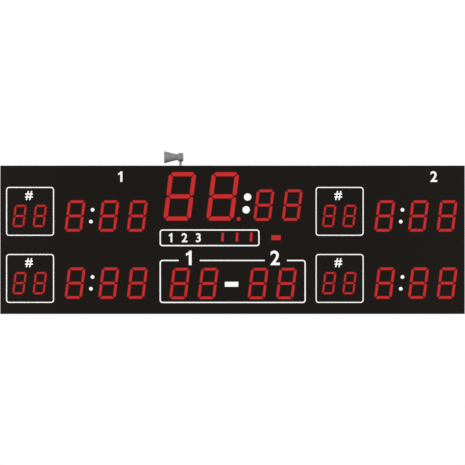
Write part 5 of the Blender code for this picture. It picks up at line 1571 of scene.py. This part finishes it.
wiring = {
    "mount": (0.019, 0.0034),          # side, rise
    "mainsRadius": 0.0015,
    "mainsPitch": 0.0034,
    "mainsDrop": (0.012, 0.742),      # how far out of the terminal, x where the wire comes to the panel
    "mainsRoute": [(0.746, -0.412), (1.205, -0.412), (1.205, -0.718)],
    "earthTurn": -0.67,              # heights where two of the wires leave the route
    "blockTurn": -0.7,
    # x, z, 1 for an upright run
    "mainsTies": [(0.82, -0.412, 0), (0.96, -0.412, 0), (1.1, -0.412, 0), (1.205, -0.49, 1),
                  (1.205, -0.6, 1), (1.205, -0.68, 1)],
    "supplyRadius": 0.0012,
    "supplyPitch": 0.0028,
    "supplyDrop": (0.01, 0.74),
    "supplyRoute": [(0.746, -0.356), (0.76, -0.356), (0.76, -0.275), (-0.0249, -0.275),
                    (-0.0249, -0.296)],
    "supplyTies": [(x, -0.275, 0) for x in (0.66, 0.5, 0.34, 0.18, 0.04)],
    "block": (1.12, -0.722),
    "blockPitch": 0.0095,
    "blockEntry": (0.009, 0.0115),    # of its wires, off the panel and above its middle
    "blockScrews": 0.0062,
    "earth": (1.246, -0.69),
    "tabPitch": 0.008,
    "ductWide": 0.025,
    "ductAcross": (-0.4975, 0.125, -0.505),
    "ductUp": (-0.485, -0.4925, -0.015),
    "ductWall": 0.0014,
    "fingers": (0.0062, 0.01, 0.0138, 0.018),     # width, pitch, middle, height
    "conductors": (24, 0.00127, 0.00066),           # number, pitch, radius
    "loomRadius": 0.0045,
    "branchRadius": 0.0026,
    "loomX": (-0.485, 0.498),
    "loomTies": 0.105,
    "socketInset": 0.06,
    "archTop": 0.076,
    "archFoot": 0.03,
}
# the boards on each trunk of the loom, with the side where they are plugged in
loomBranches = [[("clock", -1), ("score", -1), ("home_upper", 1), ("home_lower", 1)],
                [("clock", 1), ("score", 1), ("period", 1), ("guest_upper", -1), ("guest_lower", -1)]]


def softCorners(points, reach):
    # straight runs with a round bend at each corner, as control points of a spline
    points = [Vector(point) for point in points]
    found = [points[0]]
    for before, corner, after in zip(points, points[1:], points[2:]):
        back, ahead = before - corner, after - corner
        room = min(reach, back.length * 0.48, ahead.length * 0.48)
        found += [corner + back.normalized() * room, corner, corner + ahead.normalized() * room]
    return found + [points[-1]]


def wireRun(target, points, radius, paint, reach=0.015, ring=1, steps=5):
    control = softCorners(points, reach)
    curve = bpy.data.curves.new("wire", "CURVE")
    curve.dimensions = "3D"
    curve.bevel_depth = radius
    curve.bevel_resolution = ring
    curve.use_fill_caps = True
    line = curve.splines.new("NURBS")
    line.points.add(len(control) - 1)
    for point, place in zip(line.points, control):
        point.co = (*place, 1.0)
    line.order_u = 3
    line.use_endpoint_u = True
    line.resolution_u = steps
    part = bmesh.new()
    mesh = meshOf(curve)
    part.from_mesh(mesh)
    bpy.data.meshes.remove(mesh)
    bmesh.ops.remove_doubles(part, verts=part.verts, dist=weld)
    bmesh.ops.recalc_face_normals(part, faces=part.faces)
    stamp(target, painted(part, paint))


def besideRoute(route, offset, y):
    # the same (x, z) corners at depth y, with the run moved sideways by offset
    corners = [Vector(corner) for corner in route]
    ways = [(b - a).normalized() for a, b in zip(corners, corners[1:])]
    normals = [Vector((-way.y, way.x)) for way in ways]
    route = [corners[0] + normals[0] * offset]
    for corner, first, second in zip(corners[1:-1], normals, normals[1:]):
        route.append(corner + (first + second) * (offset / (1 + first.dot(second))))
    return [(x, y, z) for x, z in route + [corners[-1] + normals[-1] * offset]]


def fromTerminal(terminal, drop, lie, route, share):
    # from a terminal of the supply down to the panel, towards the start of the route
    return [terminal, terminal + Vector((drop[0], 0.0006, 0)),
            (drop[1], lie, terminal.z * share + route[0][2] * (1 - share))]


def makeTies(name, places, count, radius, pitch):
    # a square pad, the strap round the wires and its buckle
    side, rise = wiring["mount"]
    across, high = (count - 1) * pitch + 2 * radius, 2 * radius
    middle = rise + radius
    mats = [standOn((x, panelLow.y, z), toRoom, quarter * turn) for x, z, turn in places]
    assemble(name, *cabinetPlastic, "nylon",
             (standingBox((side, side, rise), 0.0008, 2), mats),
             (easedBox((0.0028, across + 0.0026, high + 0.0016), 0.0009, 2, at=(0, 0, middle)), mats),
             (easedBox((0.0042, 0.0046, 0.0036), 0.0006, at=(0, -across / 2 - 0.0014, middle)), mats))


def makeMainsWires():
    panel, radius, pitch = panelLow.y, wiring["mainsRadius"], wiring["mainsPitch"]
    lay = panel - wiring["mount"][1] - radius
    tab = middleOf("switch_housing")
    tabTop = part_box("switch_housing")[1].z - 0.004
    (blockX, blockZ), (earthX, earthZ) = wiring["block"], wiring["earth"]
    wayPitch, (entryOff, entryUp) = wiring["blockPitch"], wiring["blockEntry"]
    blockTurn = wiring["blockTurn"]

    def tabEnd(step, back=0.0, above=0.0):
        return (tab.x + wiring["tabPitch"] * step, tab.y + back, tabTop + above)

    def blockEnd(way, above=0.0):
        return (blockX + wayPitch * way, panel - entryOff, blockZ + entryUp + above)

    # brown goes to the switch, blue to the block, green and yellow to the earth stud
    tails = [(2, wiring["earthTurn"],
              [(earthX - 0.012, lay + 0.001, earthZ), (earthX, panel - 0.0022, earthZ)]),
             (1, blockTurn, [(1.175, lay, blockTurn), (blockX, lay, blockTurn), blockEnd(0)]),
             (0, wiring["mainsRoute"][-1][1],
              [(tab.x, tab.y + 0.012, -0.735), tabEnd(0, 0, 0.016), tabEnd(0)])]
    wires = bmesh.new()
    for index, (paint, end, tail) in enumerate(tails):
        route = besideRoute(wiring["mainsRoute"], (1 - index) * pitch, lay)
        start = fromTerminal(supplyTerminals[index], wiring["mainsDrop"], lay + 0.001, route, 0.6)
        wireRun(wires, start + route[:-1] + [(route[-1][0], lay, end)] + tail, radius, paint)
    for paint, step, way in ((0, -1, -1), (1, 1, 0)):
        droop = 0.4 * wayPitch * way
        wireRun(wires, [blockEnd(way), blockEnd(way, droop + 0.0165),
                        (tabEnd(step)[0], panel - 0.014, blockZ + droop + 0.026), tabEnd(step, 0.006, 0.026),
                        tabEnd(step, 0, 0.016), tabEnd(step)], radius, paint, 0.01)
    wireRun(wires, [blockEnd(1), (blockX + wayPitch, lay, blockZ + 0.04), (1.22, lay, blockZ + 0.04),
                    (earthX - 0.01, panel - 0.0024, earthZ - 0.006), (earthX, panel - 0.0024, earthZ)],
            radius, 2, 0.01)
    newPiece("mains_wires", *cabinetPlastic, "wireBrown wireBlue wireGreen", wires, 60)
    assemble("switch_sleeves", *cabinetPlastic, "nylon",
             (easedBox((0.0034, 0.0078, 0.016), 0.0008, 2, at=(0, 0, 0.005)),
              [Vector(tabEnd(step)) for step in (-1, 0, 1)]))
    makeTies("mains_ties", wiring["mainsTies"], 3, radius, pitch)

    at = standOn((blockX, panel, blockZ), toRoom)
    ways = [shift(at, wayPitch * step) for step in (-1, 0, 1)]
    holes = [shift(way, y=y) for way in ways for y in (-wiring["blockScrews"], wiring["blockScrews"])]
    collar = turnedPart([(0, 0.012), (0.0034, 0.012), (0.0034, 0.016), (0.0024, 0.016), (0.0024, 0.013),
                         (0, 0.013)], 18)
    assemble("mains_block", *cabinetPlastic, "nylon",
             (standingBox((0.0092, 0.024, 0.012), 0.001, 2), ways), (collar, holes))
    turns = [step + y * 90 for step in (-1, 0, 1) for y in (-wiring["blockScrews"], wiring["blockScrews"])]
    heads = [shift(hole, z=0.013, turn=turn) for hole, turn in zip(holes, turns)]
    stud = [standOn((earthX, panel, earthZ), toRoom)]
    lugs = [standOn(supplyTerminals[index], toRoom) for index in (0, 1, 2, 3, 4, 6, 7)]
    assemble("mains_screws", *cabinetMetal, (drivenHead(0.0021, 0.001, "slot", 14), heads),
             (threadEnd(0.0025, 0.013, 0.0008, 16), stud), (washer(0.0052, 0.0024, 0.0012), stud),
             (disc(0.005, 0.0014, 0.0026, 20, 0.0026), stud),
             (hexBlock(0.008, 0.004), shifted(stud, z=0.003)),
             (easedBox((0.009, 0.0056, 0.0007), 0.0002, at=(0.0035, 0, 0)), lugs))


def makeSupplyWires():
    radius, pitch = wiring["supplyRadius"], wiring["supplyPitch"]
    lay = panelLow.y - wiring["mount"][1] - radius
    low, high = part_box("controller_board")
    startX, height = controller["terminals"][:2]
    socketY, socketZ = high.y - 0.0146, (low.z + high.z) / 2 + height - 0.0002
    wires = bmesh.new()
    for index, terminal in enumerate((3, 4, 6, 7)):
        route = besideRoute(wiring["supplyRoute"], (index - 1.5) * pitch, lay)
        start = fromTerminal(supplyTerminals[terminal], wiring["supplyDrop"], lay + 0.002, route, 0.7)
        x = (low.x + high.x) / 2 + startX + controller["terminalPitch"] * (index + 1)
        tail = [(x, lay, route[-1][2] + 0.01), (x, socketY, high.z + 0.006), (x, socketY, socketZ)]
        wireRun(wires, start + route[1:-1] + tail, radius, index // 2, 0.012)
    newPiece("supply_wires", *cabinetPlastic, "wireBlack wireRed", wires, 60)
    makeTies("supply_ties", wiring["supplyTies"], 4, radius, pitch)


def makeDuct():
    # slotted duct: base, fingers on both sides, snap-on lid
    half, wall = wiring["ductWide"] / 2, wiring["ductWall"]
    finger, pitch, middle, tall = wiring["fingers"]
    left, right, lowZ = wiring["ductAcross"]
    upX, bottom, top = wiring["ductUp"]
    stamps = []
    runs = (((left + right) / 2, lowZ, right - left, 0.0), (upX, (bottom + top) / 2, top - bottom, quarter))
    for x, z, length, turn in runs:
        at = standOn((x, panelLow.y, z), toRoom, turn)
        spots = [shift(at, offset, side * (half - wall / 2), middle)
                 for offset in centred(int((length - 0.004) / pitch), pitch) for side in (-1, 1)]
        if not turn:     # no fingers where the other run joins
            spots = [spot for spot in spots
                     if abs(spot.translation.x - upX) >= half or spot.translation.z <= lowZ]
        base = extruded(channel(half, wall, 0, wall, 0.005), -length / 2, length / 2)
        lid = extruded(channel(half + 0.001, 0.001, 0.025, 0.0238, 0.0195), -length / 2 + 0.0006,
                       length / 2 - 0.0006, ease=0.0002)
        lie = [shift(at, turn=quarter)]
        stamps += [(base, lie), (lid, lie), (easedBox((finger, wall, tall)), spots)]
    assemble("wire_duct", *cabinetPlastic, "ribbonGrey", *stamps)


def makeRibbons():
    # from the controller's headers down into the duct
    middle = middleOf("controller_board")
    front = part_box("controller_board")[1].y - controller["standoff"] - laminate
    z, ductZ, top = middle.z + controller["headerUp"], wiring["ductAcross"][2], front - 0.0152
    slots = [middle.x + x for x in centred(4, controller["headerPitch"])]
    count, pitch, radius = wiring["conductors"]
    one = bmesh.new()
    wireRun(one, [(0, top, z - 0.001), (0, top - 0.003, z - 0.006), (0, top, z - 0.018),
                  (0, panelLow.y - 0.0135, ductZ + 0.02), (0, panelLow.y - 0.013, ductZ + 0.004)],
            radius, 0, 0.006, 0, 4)
    assemble("controller_ribbons", *cabinetPlastic, "ribbonGrey",
             (one, [Vector((x + offset, 0, 0)) for x in slots for offset in centred(count, pitch)]), sharp=70)
    places = [standOn((x, front - 0.003, z), toRoom) for x in slots]
    assemble("controller_plugs", *cabinetPlastic, "chipBlack",
             (standingBox((0.033, 0.008, 0.011), 0.0005), places),
             (easedBox((0.033, 0.0052, 0.0018), 0.0005, at=(0, 0, 0.0128)), places))


def makeFrontLooms():
    seat, radius, thin = faceHigh.y, wiring["loomRadius"], wiring["branchRadius"]
    side, rise = wiring["mount"]
    depth, foot = seat + rise + radius, wiring["archFoot"]
    lowest = middleOf("home_lower_led_board").z
    tops = (foot, middleOf("clock_led_board").z + 0.004)
    looms = bmesh.new()
    sockets, ties = [], []
    for trunk, top, branches in zip(wiring["loomX"], tops, loomBranches):
        wireRun(looms, [(trunk, depth, top), (trunk, depth, lowest - 0.004)], radius, 0, 0.02, 3)
        for name, way in branches:
            low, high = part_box(name + "_led_board")
            edge, z = (low.x if way < 0 else high.x), (low.z + high.z) / 2
            at, out = Vector((edge - way * wiring["socketInset"], high.y, z)), edge + way * 0.013
            onSheet, onBoard = seat + thin, laminateBack + thin
            wireRun(looms, [at + Vector((0, 0.005, 0)), at + Vector((way * 0.006, 0.007, 0)),
                            at + Vector((way * 0.018, 0.0045, 0)), (edge - way * 0.008, onBoard + 0.0006, z),
                            (out, laminateBack + 0.001, z), (out + way * 0.016, onSheet + 0.0006, z),
                            (trunk - way * 0.002, onSheet + 0.001, z)], thin, 0, 0.007, 2)
            sockets.append(standOn(at, toWall))
    newPiece("front_looms", "front", "switch_plastic", "loomSleeve", looms, 60)
    assemble("board_plugs", *frontPlastic, "plugCream",
             (easedBox((0.027, 0.0086, 0.0056), 0.0006, at=(0, 0, 0.003)), sockets),
             (easedBox((0.006, 0.01, 0.0016), 0.0004, at=(0, 0.0012, 0.0062)), sockets))
    for trunk, end in zip(wiring["loomX"], (foot - 0.014, tops[1] - 0.034)):
        ties += [(trunk, z) for z in spread(lowest + 0.02, end, wiring["loomTies"])
                 if all(abs(z - socket.translation.z) > 0.014 for socket in sockets)]
    mats = [standOn((x, seat, z), toWall) for x, z in ties]
    band = disc(radius + 0.001, -0.0014, 0.0014, bore=radius - 0.0001, axis="Y")
    assemble("front_ties", *frontPlastic, "nylon",
             (standingBox((side, side, rise), 0.0008, 2), mats), (band, shifted(mats, z=rise + radius)),
             (easedBox((0.0046, 0.0042, 0.004), 0.0006, at=(radius + 0.0018, 0, rise + radius)), mats))


def makeHingeLoom():
    # the loom arches from the cabinet to the front beside the hinge, and rides on neither body
    radius, foot, x = wiring["loomRadius"], wiring["archFoot"], wiring["loomX"][0]
    front, back = faceHigh.y + wiring["mount"][1] + radius, panelLow.y - 0.01
    lift = (wiring["archTop"] - foot) * 4.0
    arch = [(x, front + (back - front) * share, foot + lift * share * (1 - share))
            for share in spread(0, 1, 1 / 24)]
    points = [(x, front, foot - 0.006), *arch, (x, back, foot - 0.02),
              (x, back, wiring["ductUp"][2] - 0.006)]
    loom = bmesh.new()
    wireRun(loom, points, radius, 0, 0.004, 3, 3)
    piece = newPiece("hinge_loom", None, "switch_plastic", "loomSleeve", loom, 60)
    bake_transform(piece)


makeMainsWires()
makeSupplyWires()
makeDuct()
makeRibbons()
makeFrontLooms()
makeHingeLoom()
print("wiring laid")


# Last update of the scene, then the end

bpy.context.view_layer.update()
print("pieces placed")
